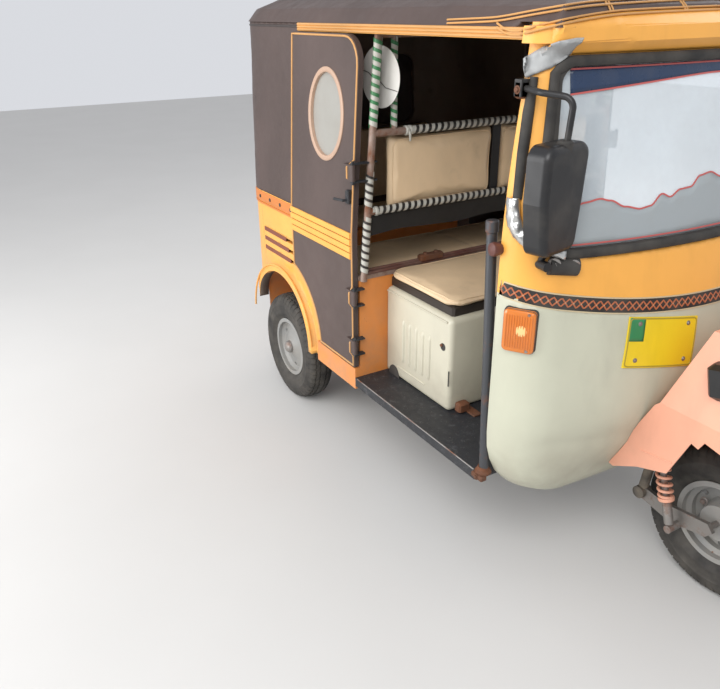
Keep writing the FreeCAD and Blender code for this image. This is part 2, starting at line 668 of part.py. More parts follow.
def make_rear_axle():
    """Engine block, trailing arms, stub axles and springs."""
    engine = joined(block(-1120, -760, -170, 170, 190, 300), block(-1188, -830, -150, 150, 250, 430))
    feature("engine_block", engine)
    y_hub = s.track_half - 62
    rail_z = s.floor_z - s.floor_plate - s.rail_height
    pivot_x, pivot_z = -455, rail_z - 16.2
    plate = flat([(pivot_x + 26, pivot_z - 24), (pivot_x + 26, pivot_z + 22), (rear_axle_x + 30, s.tyre_radius + 34),
                  (rear_axle_x - 46, s.tyre_radius + 34), (rear_axle_x - 46, s.tyre_radius - 26),
                  (rear_axle_x, s.tyre_radius - 34)], -y_hub + 60, -y_hub + 26)
    stub = bar((rear_axle_x, -y_hub + 30, s.tyre_radius), (rear_axle_x, -s.track_half - 18, s.tyre_radius),
               s.stub_radius)
    cross = bar((pivot_x, -y_hub + 60, pivot_z), (pivot_x, -s.rail_half + 30, pivot_z), 16)
    shaft = bar((rear_axle_x, -y_hub + 60, s.tyre_radius), (rear_axle_x, -170, s.tyre_radius), 15)
    feature("rear_arms", pair(joined(plate, stub, cross, shaft)))
    x, y = rear_axle_x - 10, -y_hub + 43
    top = s.arch_z + math.sqrt((s.arch_r + 6) ** 2 - (abs(x - s.arch_x) + 30) ** 2) - 0.3
    feature("rear_springs", pair(bar((x, y, s.tyre_radius + 34.3), (x, y, top), 30)))


# Steered parts and fender

def make_steering():
    """Column with handlebar, fork, swing arms and shocks."""
    column = Part.makeCylinder(s.steerer_radius, s.bar_high - s.head_low + 34, steer(s.head_low - 34), STEER_DIR)
    top = s.bar_high
    half = s.bar_half
    handle = tube([steer(top - 70, -s.bar_back, -half), steer(top - 10, 0, -half + 120),
                   steer(top - 10, 0, half - 120), steer(top - 70, -s.bar_back, half)], 11, 50)
    cover = Part.makeCylinder(34, 46, steer(top - 24), STEER_DIR)
    grips = []
    for side in (-1, 1):
        a = steer(top - 70, -s.bar_back, side * half)
        b = steer(top - 10, 0, side * (half - 120))
        grips.append(Part.makeCylinder(17, 96, a, b - a))
    feature("handlebar", joined(handle, cover, column, *grips))

    pivot_x, pivot_z = s.front_axle_x - s.link_back, 250
    crown = s.head_low - 34
    legs = []
    for side in (-1, 1):
        y = side * s.fork_half
        legs.append(tube([steer(crown - 14, 0, 0), steer(crown - 14, 0, side * (s.fork_half - 10)),
                          V(pivot_x, y, pivot_z)], s.leg_radius, 9 + s.leg_radius))
        legs.append(bar((pivot_x, y - 22, pivot_z), (pivot_x, y + 22, pivot_z), 21))
    hub = Part.makeCylinder(34, 33.7, steer(crown - 34), STEER_DIR)
    reach = s.shock_half + 12
    ear = bar(steer(crown - 40, -24, -reach), steer(crown - 40, -24, reach), 11)
    stem = Part.makeCylinder(s.steerer_radius + 0.01, 900, steer(crown), STEER_DIR)
    fork = joined(*legs, hub, ear).cut(stem)
    feature("fork", fork)

    y = s.fork_half - s.link_wall / 2
    arm = [(pivot_x - 20, pivot_z - 4), (pivot_x - 6, pivot_z + 24), (pivot_x + 90, pivot_z + 8),
           (s.front_axle_x + 4, s.tyre_radius + 24), (s.front_axle_x + 24, s.tyre_radius),
           (s.front_axle_x + 4, s.tyre_radius - 24), (pivot_x + 120, pivot_z - 46), (pivot_x - 6, pivot_z - 22)]
    plate = flat(arm, -y - s.link_wall, -y)
    plate = plate.cut(bar((pivot_x, -y - 60, pivot_z), (pivot_x, -y + 60, pivot_z), 21.3))
    eye = bar((pivot_x + 150, -s.shock_half - 12, pivot_z - 36), (pivot_x + 150, -y, pivot_z - 36), 13)
    pin = bar((s.front_axle_x, -y, s.tyre_radius), (s.front_axle_x, y, s.tyre_radius), s.pin_radius)
    feature("front_link", joined(plate, eye, mirrored(joined(plate, eye)), pin).cut(fork))
    low, high = V(pivot_x + 150, -s.shock_half, pivot_z - 36), steer(crown - 40, -24, -s.shock_half)
    run = (high - low).normalize()
    shock = joined(bar(low + run * 13.4, high - run * 11.4, 12),
                   bar(low + run * 96, high - run * 30, s.shock_radius))
    feature("front_shocks", pair(shock))


def lamp_block(grow=0):
    """The boxed headlamp, let into the front of the fender's nacelle."""
    w, h = s.lamp_width + 2 * grow, s.lamp_height + 2 * grow
    lamp = Part.makeBox(80 + 2 * grow, w, h, V(-grow, -w / 2, -h / 2))
    lamp = lamp.makeFillet(26, [e for e in lamp.Edges if abs(e.tangentAt(0).x) > 0.9])
    lamp.translate(V(s.front_axle_x + 26, 0, 795))
    return lamp


def fender_form(inset):
    """The fender's closed form less an inset: wheel cover with a tapered nacelle on it."""
    ax, w = s.front_axle_x, s.fender_half - inset
    deck = 686 - inset
    cover = [(ax - 276 + inset, 407), (ax - 140 + inset, deck - 14), (ax - 125, deck), (ax + 95, deck),
             (s.front_x - inset, 548 - inset), (s.front_x - inset, 300), (ax - 276 + inset, 300)]
    low, high = deck - 1, 928 - inset
    base = [V(x, y, low) for x, y in ((ax - 125 + inset, -w), (ax + 95 - inset, -w),
                                      (ax + 95 - inset, w), (ax - 125 + inset, w))]
    narrow = s.fender_half - 52 - inset
    top = [V(x, y, high) for x, y in ((ax - 40 + inset, -narrow), (ax + 50 - inset, -narrow),
                                      (ax + 50 - inset, narrow), (ax - 40 + inset, narrow))]
    nacelle = Part.makeLoft([Part.makePolygon(base + base[:1]), Part.makePolygon(top + top[:1])], True, True)
    return flat(cover, -w, w).fuse(nacelle)


def make_fender():
    """Fixed sheet fender: skirts with a cut lower edge, a deck and the lamp's nacelle."""
    ax = s.front_axle_x
    shell = fender_form(0).cut(fender_form(s.fender_wall))
    opening = [(ax - 276, 200), (ax - 276, 406), (ax - 247, 401), (ax - 162, 447), (ax - 64, 480), (ax - 8, 613),
               (ax + 15, 606), (ax + 30, 634), (ax + 190, 600), (s.front_x - 10, 500), (s.front_x + 50, 500),
               (s.front_x + 50, 200)]
    shell = shell.cut(flat(opening, -400, 400))
    fender = shell.cut(nose_block(-1)).cut(lamp_block(0.3))
    feature("fender", max(fender.Solids, key=lambda solid: solid.Volume))
    feature("headlamp", lamp_block())


# Wheels

def revolved(label, outline, x, y, side=1):
    """A turned piece from its half section: along the axle and out from it."""
    body = doc.addObject("PartDesign::Body", "B_" + label)
    sketch = body.newObject("Sketcher::SketchObject", "S_" + label)
    plane = next(f for f in body.Origin.OriginFeatures if f.Role == "XY_Plane")
    sketch.AttachmentSupport = [(plane, "")]
    sketch.MapMode = "FlatFace"
    points = [V(side * u, v, 0) for u, v in outline]
    for a, b in zip(points, points[1:] + points[:1]):
        sketch.addGeometry(Part.LineSegment(a, b), False)
    turn = body.newObject("PartDesign::Revolution", "R_" + label)
    turn.Profile = sketch
    turn.ReferenceAxis = (sketch, ["H_Axis"])
    turn.Angle = 360
    body.Tip = turn
    body.Placement.Rotation = FreeCAD.Rotation(V(0, 0, 1), 90)
    place(body, x, y, "tyre_radius")
    return body


def make_wheels():
    """Front wheel with a drum hub; rear wheels with dished discs."""
    bore = s.pin_radius + s.run_gap
    seat = s.rim_radius - 12
    half, t = s.rim_width / 2, s.rim_sheet
    for name, x, y, hole, side in (("front", "front_axle_x", "0", bore, 1),
                                   ("rear_right", "front_axle_x - wheelbase", "-track_half",
                                    s.stub_radius + s.run_gap, -1),
                                   ("rear_left", "front_axle_x - wheelbase", "track_half",
                                    s.stub_radius + s.run_gap, 1)):
        w, r = s.tyre_width / 2, s.tyre_radius
        tyre = [(-half + 6, seat), (-half + 4.6, s.rim_radius + 1), (-w + 5, seat + 34), (-w, seat + 62),
                (-w + 4, r - 34), (-w + 12, r - 12), (-w + 30, r - 3), (0, r)]
        tyre += [(-u, v) for u, v in reversed(tyre[:-1])]
        node(revolved("tyre_" + name, tyre, x, y), "tyre_" + name)
        rim = [(-half, s.rim_radius), (-half, seat - t), (-half + 20, seat - t - 1), (-half + 30, seat - 20),
               (2, seat - 20), (10, s.hub_radius + 12), (-s.hub_half, s.hub_radius), (-s.hub_half, hole),
               (s.hub_half, hole), (s.hub_half, 30), (34, s.hub_radius - 8), (26, s.hub_radius + 12),
               (18, seat - 20), (half - 26, seat - 16), (half - 16, seat - t - 1), (half, seat - t),
               (half, s.rim_radius), (half - 4, s.rim_radius), (half - 5.5, seat - 0.3),
               (-half + 5.5, seat - 0.3), (-half + 4, s.rim_radius)]
        wheel = revolved("rim_" + name, rim, x, y, side)
        bores = [bar((96 * math.cos(a), -60, 96 * math.sin(a)), (96 * math.cos(a), 60, 96 * math.sin(a)), 9)
                 for a in (math.radians(60 * i + 30) for i in range(6))]
        holes = doc.addObject("Part::Feature", "holes_" + name)
        holes.Shape = Part.makeCompound(bores)
        place(holes, x, y, "tyre_radius")
        node(cut("pierced_" + name, wheel, holes), "rim_" + name)


def make_doors():
    """Raised doors outboard of the body, leaning in above the belt, each with an oval window."""
    y0 = s.body_half + s.door_gap
    y1 = y0 + s.door_wall
    lean = s.tumblehome * (s.door_top - s.belt_z) / (s.hood_top - s.belt_z)
    outline = [(-y0, s.door_low - 20), (-y1, s.door_low - 20), (-y1, s.belt_z), (-y1 + lean, s.door_top + 1),
               (-y0 + lean, s.door_top + 1), (-y0, s.belt_z)]
    loop = [V(s.door_rear - 60, y, z) for y, z in outline]
    sheet_form = Part.Face(Part.makePolygon(loop + loop[:1])).extrude(V(700, 0, 0))
    door = sheet_form.common(door_prism(0, -900, -400)).cut(oval_prism(0, -900, -400))
    barrels, brackets = [], []
    for z, arm in ((540, 0), (740, 0), (1200, 1)):
        x, y = s.hinge_x, -y1 - s.hinge_out
        reach = s.tumblehome * max(z - s.belt_z, 0) / (s.hood_top - s.belt_z)
        ring = bar((x, y, z - 28), (x, y, z + 28), 9)
        leaf = block(x - 50, x, y - 9, y - 4, z - 28, z + 28)
        pad = block(x - 50, s.bulkhead_x - 4, y - 9, -y1 + reach + 2, z - 28, z + 28)
        hole = bar((x, y, z - 40), (x, y, z + 40), 5.05)
        barrels.append(joined(ring, leaf, pad.cut(bar((x, y, z - 40), (x, y, z + 40), 14))).cut(hole))
        pin = bar((x, y, z - 40), (x, y, z + 40), 5)
        for edge in (z - 34.3, z + 28.3):
            if arm:
                lug = block(x - 8, x + 8, y - 6, -y0 + 70, edge, edge + 6)
            else:
                lug = block(s.bulkhead_x + 0.3, x + 8, y - 6, y + 40, edge, edge + 6)
            pin = pin.fuse(lug)
        brackets.append(pin.removeSplitter())
    door = joined(door, *barrels)
    feature("door_right", door)
    feature("door_left", mirrored(door))
    frame = next(n for n in nodes if n.Label == "partition_frame").Shape
    brackets = Part.makeCompound(brackets).cut(frame)
    feature("door_hinges", pair(brackets))


make_cowl()
make_body()
make_roof()
make_partition(make_seats(make_floor()))
make_outside()
make_rear_axle()
make_steering()
make_fender()
make_wheels()
make_doors()

doc.recompute()
for obj in doc.Objects:
    if {"Invalid", "Error"} & set(obj.State):
        raise RuntimeError(f"{obj.Label} did not build: {obj.State}")
os.makedirs("parts", exist_ok=True)
for obj in nodes:
    shape = obj.Shape
    if shape.isNull() or not shape.isValid() or not shape.Solids:
        raise RuntimeError(f"{obj.Label} is not a valid solid")
    shape.exportStep(f"parts/{obj.Label}.step")
    print(f"{obj.Label}: {len(shape.Solids)} solid(s), {shape.Volume / 1e6:.2f} litres")
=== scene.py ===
"""Looks of the auto rickshaw: finishes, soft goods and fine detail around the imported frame. Metres."""
import json
import math
import random

import bpy
import bmesh
from mathutils import Matrix, Vector, noise
from mathutils.bvhtree import BVHTree


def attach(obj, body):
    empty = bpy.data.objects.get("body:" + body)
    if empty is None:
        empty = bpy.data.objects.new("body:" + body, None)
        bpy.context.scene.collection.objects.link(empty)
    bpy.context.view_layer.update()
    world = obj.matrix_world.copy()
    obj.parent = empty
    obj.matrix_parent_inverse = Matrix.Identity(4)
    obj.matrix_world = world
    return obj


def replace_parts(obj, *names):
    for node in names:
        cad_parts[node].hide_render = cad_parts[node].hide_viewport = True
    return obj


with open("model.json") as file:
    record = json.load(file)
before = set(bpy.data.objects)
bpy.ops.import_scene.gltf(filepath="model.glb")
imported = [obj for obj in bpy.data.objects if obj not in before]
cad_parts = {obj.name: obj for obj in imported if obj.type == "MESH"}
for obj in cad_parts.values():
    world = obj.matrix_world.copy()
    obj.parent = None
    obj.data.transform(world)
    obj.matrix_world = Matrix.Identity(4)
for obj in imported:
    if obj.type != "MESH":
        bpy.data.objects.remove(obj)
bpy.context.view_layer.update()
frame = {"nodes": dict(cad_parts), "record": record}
rng = random.Random(7)

# Camera, solved from the photograph: place, viewing direction, roll, focal length and picture width in pixels
CAMERA_AT = Vector((2.005, -1.902, 1.712))
VIEW_DIR = Vector((-0.7816, 0.4607, -0.4204))
CAMERA_ROLL = math.radians(-0.67)
FOCAL_PX, PHOTO_WIDE, SENSOR = 724.3, 720, 36.0

# Colours as they look in the photograph, linear light
YELLOW = (0.86, 0.41, 0.075)
ORANGE = (0.72, 0.25, 0.055)
CREAM = (0.50, 0.50, 0.39)
VINYL = (0.070, 0.047, 0.041)
SALMON = (0.80, 0.38, 0.25)
SEAT = (0.62, 0.46, 0.29)
OFF_WHITE = (0.50, 0.49, 0.38)
RUST = (0.16, 0.055, 0.02)
DUST = (0.30, 0.25, 0.19)
BLACK = (0.012, 0.012, 0.013)


# Materials

class Nodes:
    """Short calls for a material's node tree."""

    def __init__(self, name):
        self.mat = bpy.data.materials.new(name)
        self.mat.use_nodes = True
        self.tree = self.mat.node_tree
        self.shader = self.tree.nodes["Principled BSDF"]
        self.coords = self.add("TexCoord").outputs["Object"]

    def feed(self, socket, value):
        """Gives a socket a colour or a number, or links another socket to it."""
        if isinstance(value, tuple):
            socket.default_value = (*value, 1)
        elif isinstance(value, (int, float)):
            socket.default_value = value
        else:
            self.tree.links.new(value, socket)

    def add(self, kind, **inputs):
        """A new node, some of its inputs given by name."""
        node = self.tree.nodes.new("ShaderNode" + kind)
        for name, value in inputs.items():
            self.feed(node.inputs[name.replace("_", " ")], value)
        return node

    def noise(self, scale, detail=4.0, stretch=(1, 1, 1), rough=0.55):
        """Noise over the object, from 0 to 1."""
        where = self.add("Mapping", Vector=self.coords)
        where.inputs["Scale"].default_value = stretch
        tex = self.add("TexNoise", Scale=scale, Detail=detail, Roughness=rough, Vector=where.outputs[0])
        return tex.outputs["Fac"]

    def ramp(self, value, low, high, at=(0.0, 1.0)):
        """Maps a value between two levels, clamped."""
        node = self.add("MapRange", Value=value, From_Min=low, From_Max=high, To_Min=at[0], To_Max=at[1])
        return node.outputs[0]

    def math(self, kind, a, b):
        """One calculation on two values, each a number or a socket."""
        node = self.add("Math")
        node.operation = kind
        self.feed(node.inputs[0], a)
        self.feed(node.inputs[1], b)
        return node.outputs[0]

    def mix(self, share, a, b):
        """Blends two colours, each a triple or a socket."""
        node = self.add("Mix")
        node.data_type = "RGBA"
        self.feed(node.inputs["Factor"], share)
        for name, value in (("A", a), ("B", b)):
            self.feed([i for i in node.inputs if i.name == name and i.type == "RGBA"][0], value)
        return [o for o in node.outputs if o.type == "RGBA"][0]

    def height(self):
        """Height above the ground, in metres."""
        return self.add("SeparateXYZ", Vector=self.coords).outputs["Z"]

    def bump(self, value, strength, distance):
        node = self.add("Bump", Strength=strength, Distance=distance, Height=value)
        self.feed(self.shader.inputs["Normal"], node.outputs[0])

    def finish(self, colour, rough, metal=0.0):
        for name, value in (("Base Color", colour), ("Roughness", rough), ("Metallic", metal)):
            self.feed(self.shader.inputs[name], value)
        return self.mat


def shade(colour, k):
    """A colour made darker or lighter."""
    return tuple(min(c * k, 1.0) for c in colour)


def paint(name, colour, rust=0.5, dust=0.5, gloss=0.42, low=0.35, high=0.8):
    """Old paint: faded patches, chips that rust, and dust that gathers low down."""
    n = Nodes(name)
    faded = n.ramp(n.noise(2.3, 5), 0.35, 0.7)
    base = n.mix(faded, shade(colour, 0.93), shade(colour, 1.07))
    grime = n.ramp(n.noise(9, 6, (1, 1, 0.35)), 0.52, 0.8, (0, 0.35))
    base = n.mix(grime, base, shade(colour, 0.62))
    lowness = n.ramp(n.height(), high, low)
    dirt = n.math("MULTIPLY", n.math("MULTIPLY", lowness, n.ramp(n.noise(14, 6), 0.3, 0.75)), dust)
    base = n.mix(dirt, base, DUST)
    chips = n.math("GREATER_THAN", n.noise(26, 8, rough=0.7), 0.80 - 0.12 * rust)
    base = n.mix(n.math("MULTIPLY", chips, 0.85), base, RUST)
    shine = n.ramp(n.noise(30, 3), 0, 1, (gloss - 0.08, gloss + 0.12))
    n.bump(n.math("SUBTRACT", n.math("MULTIPLY", n.noise(60, 3), 0.25), chips), 0.25, 0.0012)
    return n.finish(base, n.math("ADD", shine, n.math("MULTIPLY", dirt, 0.4)))


def vinyl(name, colour, grain=420, sheen=0.45, patches=0.25):
    """Coated cloth or seat vinyl: fine grain, soft wrinkles and dusty patches."""
    n = Nodes(name)
    worn = n.ramp(n.noise(3.1, 6, (1, 1, 0.6)), 0.4, 0.75)
    base = n.mix(n.math("MULTIPLY", worn, patches * 2), colour, shade(colour, 1.55))
    stain = n.ramp(n.noise(11, 7), 0.6, 0.78, (0, patches))
    base = n.mix(stain, base, shade(colour, 0.55))
    grainy = n.math("ADD", n.math("MULTIPLY", n.noise(grain, 2), 0.25), n.noise(18, 3, (1, 1, 0.4)))
    n.bump(grainy, 0.35, 0.0016)
    return n.finish(base, n.ramp(n.noise(16, 4), 0.2, 0.8, (sheen - 0.08, sheen + 0.16)))


def steel(name, colour, rust=0.5, rough=0.45, metal=0.75):
    """Bare or plated metal going rusty."""
    n = Nodes(name)
    rusty = n.ramp(n.noise(17, 9, rough=0.65), 0.62 - 0.2 * rust, 0.74 - 0.1 * rust)
    base = n.mix(rusty, n.mix(n.noise(5, 4), shade(colour, 0.75), shade(colour, 1.15)), RUST)
    n.bump(n.noise(120, 4), 0.18, 0.001)
    return n.finish(base, n.math("ADD", n.math("MULTIPLY", rusty, 0.35), rough),
                    n.math("MULTIPLY", n.math("SUBTRACT", 1.0, rusty), metal))


def rubber(name, colour=(0.02, 0.019, 0.018), dust=0.5):
    """Black rubber with dust in it."""
    n = Nodes(name)
    dusty = n.ramp(n.noise(13, 7), 0.35, 0.85, (0, dust))
    base = n.mix(dusty, colour, (0.13, 0.115, 0.095))
    n.bump(n.noise(180, 3), 0.2, 0.001)
    return n.finish(base, n.ramp(n.noise(22, 4), 0.2, 0.8, (0.62, 0.85)))


def plastic(name, colour, rough=0.4, dust=0.2):
    """Moulded plastic, slightly pebbled and dusty."""
    n = Nodes(name)
    base = n.mix(n.ramp(n.noise(10, 6), 0.45, 0.9, (0, dust)), colour, (0.25, 0.22, 0.18))
    n.bump(n.noise(350, 2), 0.12, 0.0008)
    return n.finish(base, n.ramp(n.noise(25, 3), 0, 1, (rough - 0.06, rough + 0.12)))


def floor_paint(name):
    """Black floor paint, scuffed grey and gritty."""
    n = Nodes(name)
    scuffed = n.ramp(n.noise(38, 8, rough=0.75), 0.55, 0.74, (0, 0.75))
    base = n.mix(n.noise(6, 4), (0.013, 0.014, 0.017), (0.030, 0.031, 0.035))
    base = n.mix(scuffed, base, (0.13, 0.13, 0.135))
    grit = n.math("GREATER_THAN", n.noise(210, 3, rough=0.6), 0.70)
    base = n.mix(n.math("MULTIPLY", grit, 0.7), base, (0.28, 0.27, 0.25))
    rusty = n.ramp(n.noise(9, 7, rough=0.65), 0.66, 0.74, (0, 0.6))
    base = n.mix(rusty, base, RUST)
    n.bump(n.math("ADD", n.noise(90, 5), grit), 0.3, 0.0015)
    return n.finish(base, n.ramp(n.noise(30, 4), 0.2, 0.8, (0.42, 0.72)))


def lens(name, colour):
    """Tinted lens."""
    n = Nodes(name)
    base = n.mix(n.noise(8, 4), shade(colour, 0.8), shade(colour, 1.15))
    n.bump(n.noise(60, 2), 0.1, 0.001)
    n.shader.inputs["Coat Weight"].default_value = 0.7
    return n.finish(base, n.ramp(n.noise(20, 3), 0, 1, (0.16, 0.3)))


def clear(name, colour, alpha, rough=0.05):
    """Thin glass: tinted, slightly dusty and mostly see-through."""
    n = Nodes(name)
    dirty = n.ramp(n.noise(6, 7), 0.4, 0.85, (alpha, min(alpha + 0.14, 1)))
    n.feed(n.shader.inputs["Alpha"], dirty)
    n.bump(n.noise(2, 2), 0.02, 0.001)
    return n.finish(n.mix(n.noise(4, 3), shade(colour, 0.9), shade(colour, 1.1)), rough)


# Each look: its kind, then what that kind's function takes
LOOKS = {
    "yellow_paint": (paint, YELLOW, 0.25, 0.4, 0.36, 0.55, 1.0),
    "cream_paint": (paint, CREAM, 0.15, 0.55, 0.35, 0.33, 0.62),
    "orange_paint": (paint, ORANGE, 0.9, 0.5, 0.5),
    "white_paint": (paint, OFF_WHITE, 0.55, 0.6, 0.4),
    "salmon_paint": (paint, SALMON, 0.15, 0.3, 0.4, 0.3, 0.6),
    "dark_vinyl": (vinyl, VINYL, 300, 0.5, 0.35),
    "seat_vinyl": (vinyl, SEAT, 500, 0.42, 0.3),
    "black_metal": (floor_paint,),
    "grey_steel": (steel, (0.30, 0.28, 0.26), 0.45, 0.5),
    "frame_steel": (paint, (0.028, 0.026, 0.024), 0.8, 0.9, 0.6),
    "ribbon_tube": (steel, (0.30, 0.22, 0.18), 0.9, 0.5, 0.3),
    "seal_rubber": (rubber,),
    "screen_glass": (clear, (0.80, 0.87, 0.92), 0.36),
    "black_plastic": (plastic, BLACK, 0.36),
    "amber_lens": (lens, (0.62, 0.17, 0.015)),
    "red_lens": (lens, (0.42, 0.012, 0.01)),
    "plate_yellow": (paint, (0.80, 0.58, 0.02), 0.1, 0.1, 0.35),
    "engine_metal": (steel, (0.16, 0.155, 0.15), 0.5, 0.6),
    "tyre_rubber": (rubber, (0.022, 0.020, 0.018), 0.75),
    "rim_paint": (paint, (0.27, 0.27, 0.26), 0.8, 0.6, 0.35, 0.0, 0.5),
    "spring_paint": (paint, (0.45, 0.17, 0.09), 0.7, 0.5, 0.5),
    "nut_steel": (steel, (0.34, 0.32, 0.30), 0.7, 0.45),
    "piping_orange": (paint, (0.58, 0.30, 0.10), 0.2, 0.5, 0.4),
    "piping_dark": (vinyl, (0.045, 0.035, 0.032), 400, 0.5, 0.3),
    "belt_orange": (paint, (0.58, 0.19, 0.04), 0.4, 0.6, 0.42),
    "milky_pane": (plastic, (0.33, 0.32, 0.29), 0.35, 0.4),
    "rim_pink": (plastic, (0.47, 0.31, 0.22), 0.5, 0.3),
    "tape_white": (plastic, (0.46, 0.45, 0.40), 0.45, 0.5),
    "tape_black": (plastic, (0.016, 0.015, 0.015), 0.4, 0.25),
    "tape_green": (plastic, (0.02, 0.16, 0.05), 0.4, 0.25),
    "band_dark": (plastic, (0.020, 0.016, 0.014), 0.45, 0.3),
    "band_edge": (plastic, (0.55, 0.45, 0.28), 0.45, 0.25),
    "band_copper": (plastic, (0.42, 0.12, 0.045), 0.4, 0.25),
    "band_dots": (plastic, (0.50, 0.40, 0.26), 0.4, 0.2),
    "film_blue": (plastic, (0.015, 0.035, 0.085), 0.25, 0.15),
    "film_grey": (plastic, (0.33, 0.36, 0.37), 0.35, 0.25),
    "film_red": (plastic, (0.52, 0.10, 0.09), 0.4, 0.15),
    "silver_tape": (steel, (0.62, 0.62, 0.60), 0.1, 0.28, 0.8),
    "grey_sheet": (plastic, (0.36, 0.37, 0.37), 0.5, 0.35),
    "disc_white": (plastic, (0.62, 0.60, 0.56), 0.4, 0.3),
    "gasket": (rubber, (0.03, 0.028, 0.026), 0.4),
    "mirror_glass": (steel, (0.75, 0.78, 0.80), 0.0, 0.06, 1.0),
    "green_paint": (paint, (0.03, 0.22, 0.08), 0.1, 0.2, 0.35),
    # Near-black paint of the seat riser: painted shade
    "dark_paint": (paint, (0.028, 0.020, 0.016), 0.5, 0.3, 0.5),
    "box_paint": (paint, (0.55, 0.52, 0.41), 0.30, 0.5, 0.38, 0.38, 0.62),
    "rusty_steel": (steel, (0.16, 0.075, 0.045), 0.95, 0.6, 0.4),
    "rod_steel": (steel, (0.085, 0.088, 0.095), 0.2, 0.42, 0.6),
    "rail_red": (paint, (0.105, 0.030, 0.022), 0.8, 0.7, 0.5, 0.5, 1.2),
    # Near-black vinyl of the strap, also used for sheets of painted shade behind the louvres and the
    # partition
    "cabin_dark": (vinyl, (0.010, 0.009, 0.009), 300, 0.6, 0.3),
    "cabin_lining": (vinyl, (0.095, 0.068, 0.052), 260, 0.6, 0.8),
    "curtain_vinyl": (vinyl, (0.032, 0.024, 0.022), 300, 0.5, 0.4),
    # Lighter colour of the bulbs in the turn lenses: partly the bulb, partly a painted highlight
    "bulb_glow": (lens, (0.85, 0.55, 0.22)),
    # Dark red of the louvre strips: painted shade of the louvres' recesses
    "louvre_red": (paint, (0.20, 0.055, 0.03), 0.5, 0.4, 0.5),
    "plate_edge": (paint, (0.40, 0.30, 0.03), 0.3, 0.3, 0.4),
}
M = {name: kind(name, *values) for name, (kind, *values) in LOOKS.items()}
NODE_LOOKS = {"guard_rods": "rod_steel"}
for part in frame["record"]["subparts"]:
    node = frame["nodes"][part["node"]]
    node.data.materials.clear()
    node.data.materials.append(M[NODE_LOOKS.get(part["node"], part["material_slot"])])


# Mesh helpers

def link(obj):
    """Puts an object in the scene."""
    bpy.context.scene.collection.objects.link(obj)
    return obj


def smooth(mesh, sharp=None):
    """Shades a mesh smooth, up to a sharp angle if given."""
    mesh.polygons.foreach_set("use_smooth", [True] * len(mesh.polygons))
    if sharp:
        mesh.set_sharp_from_angle(angle=math.radians(sharp))


def mesh_object(name, verts, faces, mat, slot=None, body="root", sharp=35):
    """A piece from plain lists, riding on a body."""
    mesh = bpy.data.meshes.new(name)
    mesh.from_pydata([tuple(v) for v in verts], [], faces)
    mesh.update()
    smooth(mesh, sharp)
    obj = link(bpy.data.objects.new(name, mesh))
    mesh.materials.append(M[mat])
    slot or mat
    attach(obj, body)
    return obj


def from_bmesh(name, bm, sharp=None):
    """An object out of a bmesh, which is freed."""
    mesh = bpy.data.meshes.new(name)
    bm.to_mesh(mesh)
    bm.free()
    smooth(mesh, sharp)
    return link(bpy.data.objects.new(name, mesh))


def circle(sides):
    """Cosines and sines round a circle."""
    return [(math.cos(a), math.sin(a)) for a in (2 * math.pi * k / sides for k in range(sides))]


def mirror_y(points):
    """The same places on the vehicle's other side."""
    return [Vector((p[0], -p[1], p[2])) for p in points]


def axes_for(direction):
    """Two unit vectors square to a direction."""
    d = direction.normalized()
    side = d.cross(Vector((0, 0, 1)) if abs(d.z) < 0.9 else Vector((1, 0, 0))).normalized()
    return side, side.cross(d).normalized()


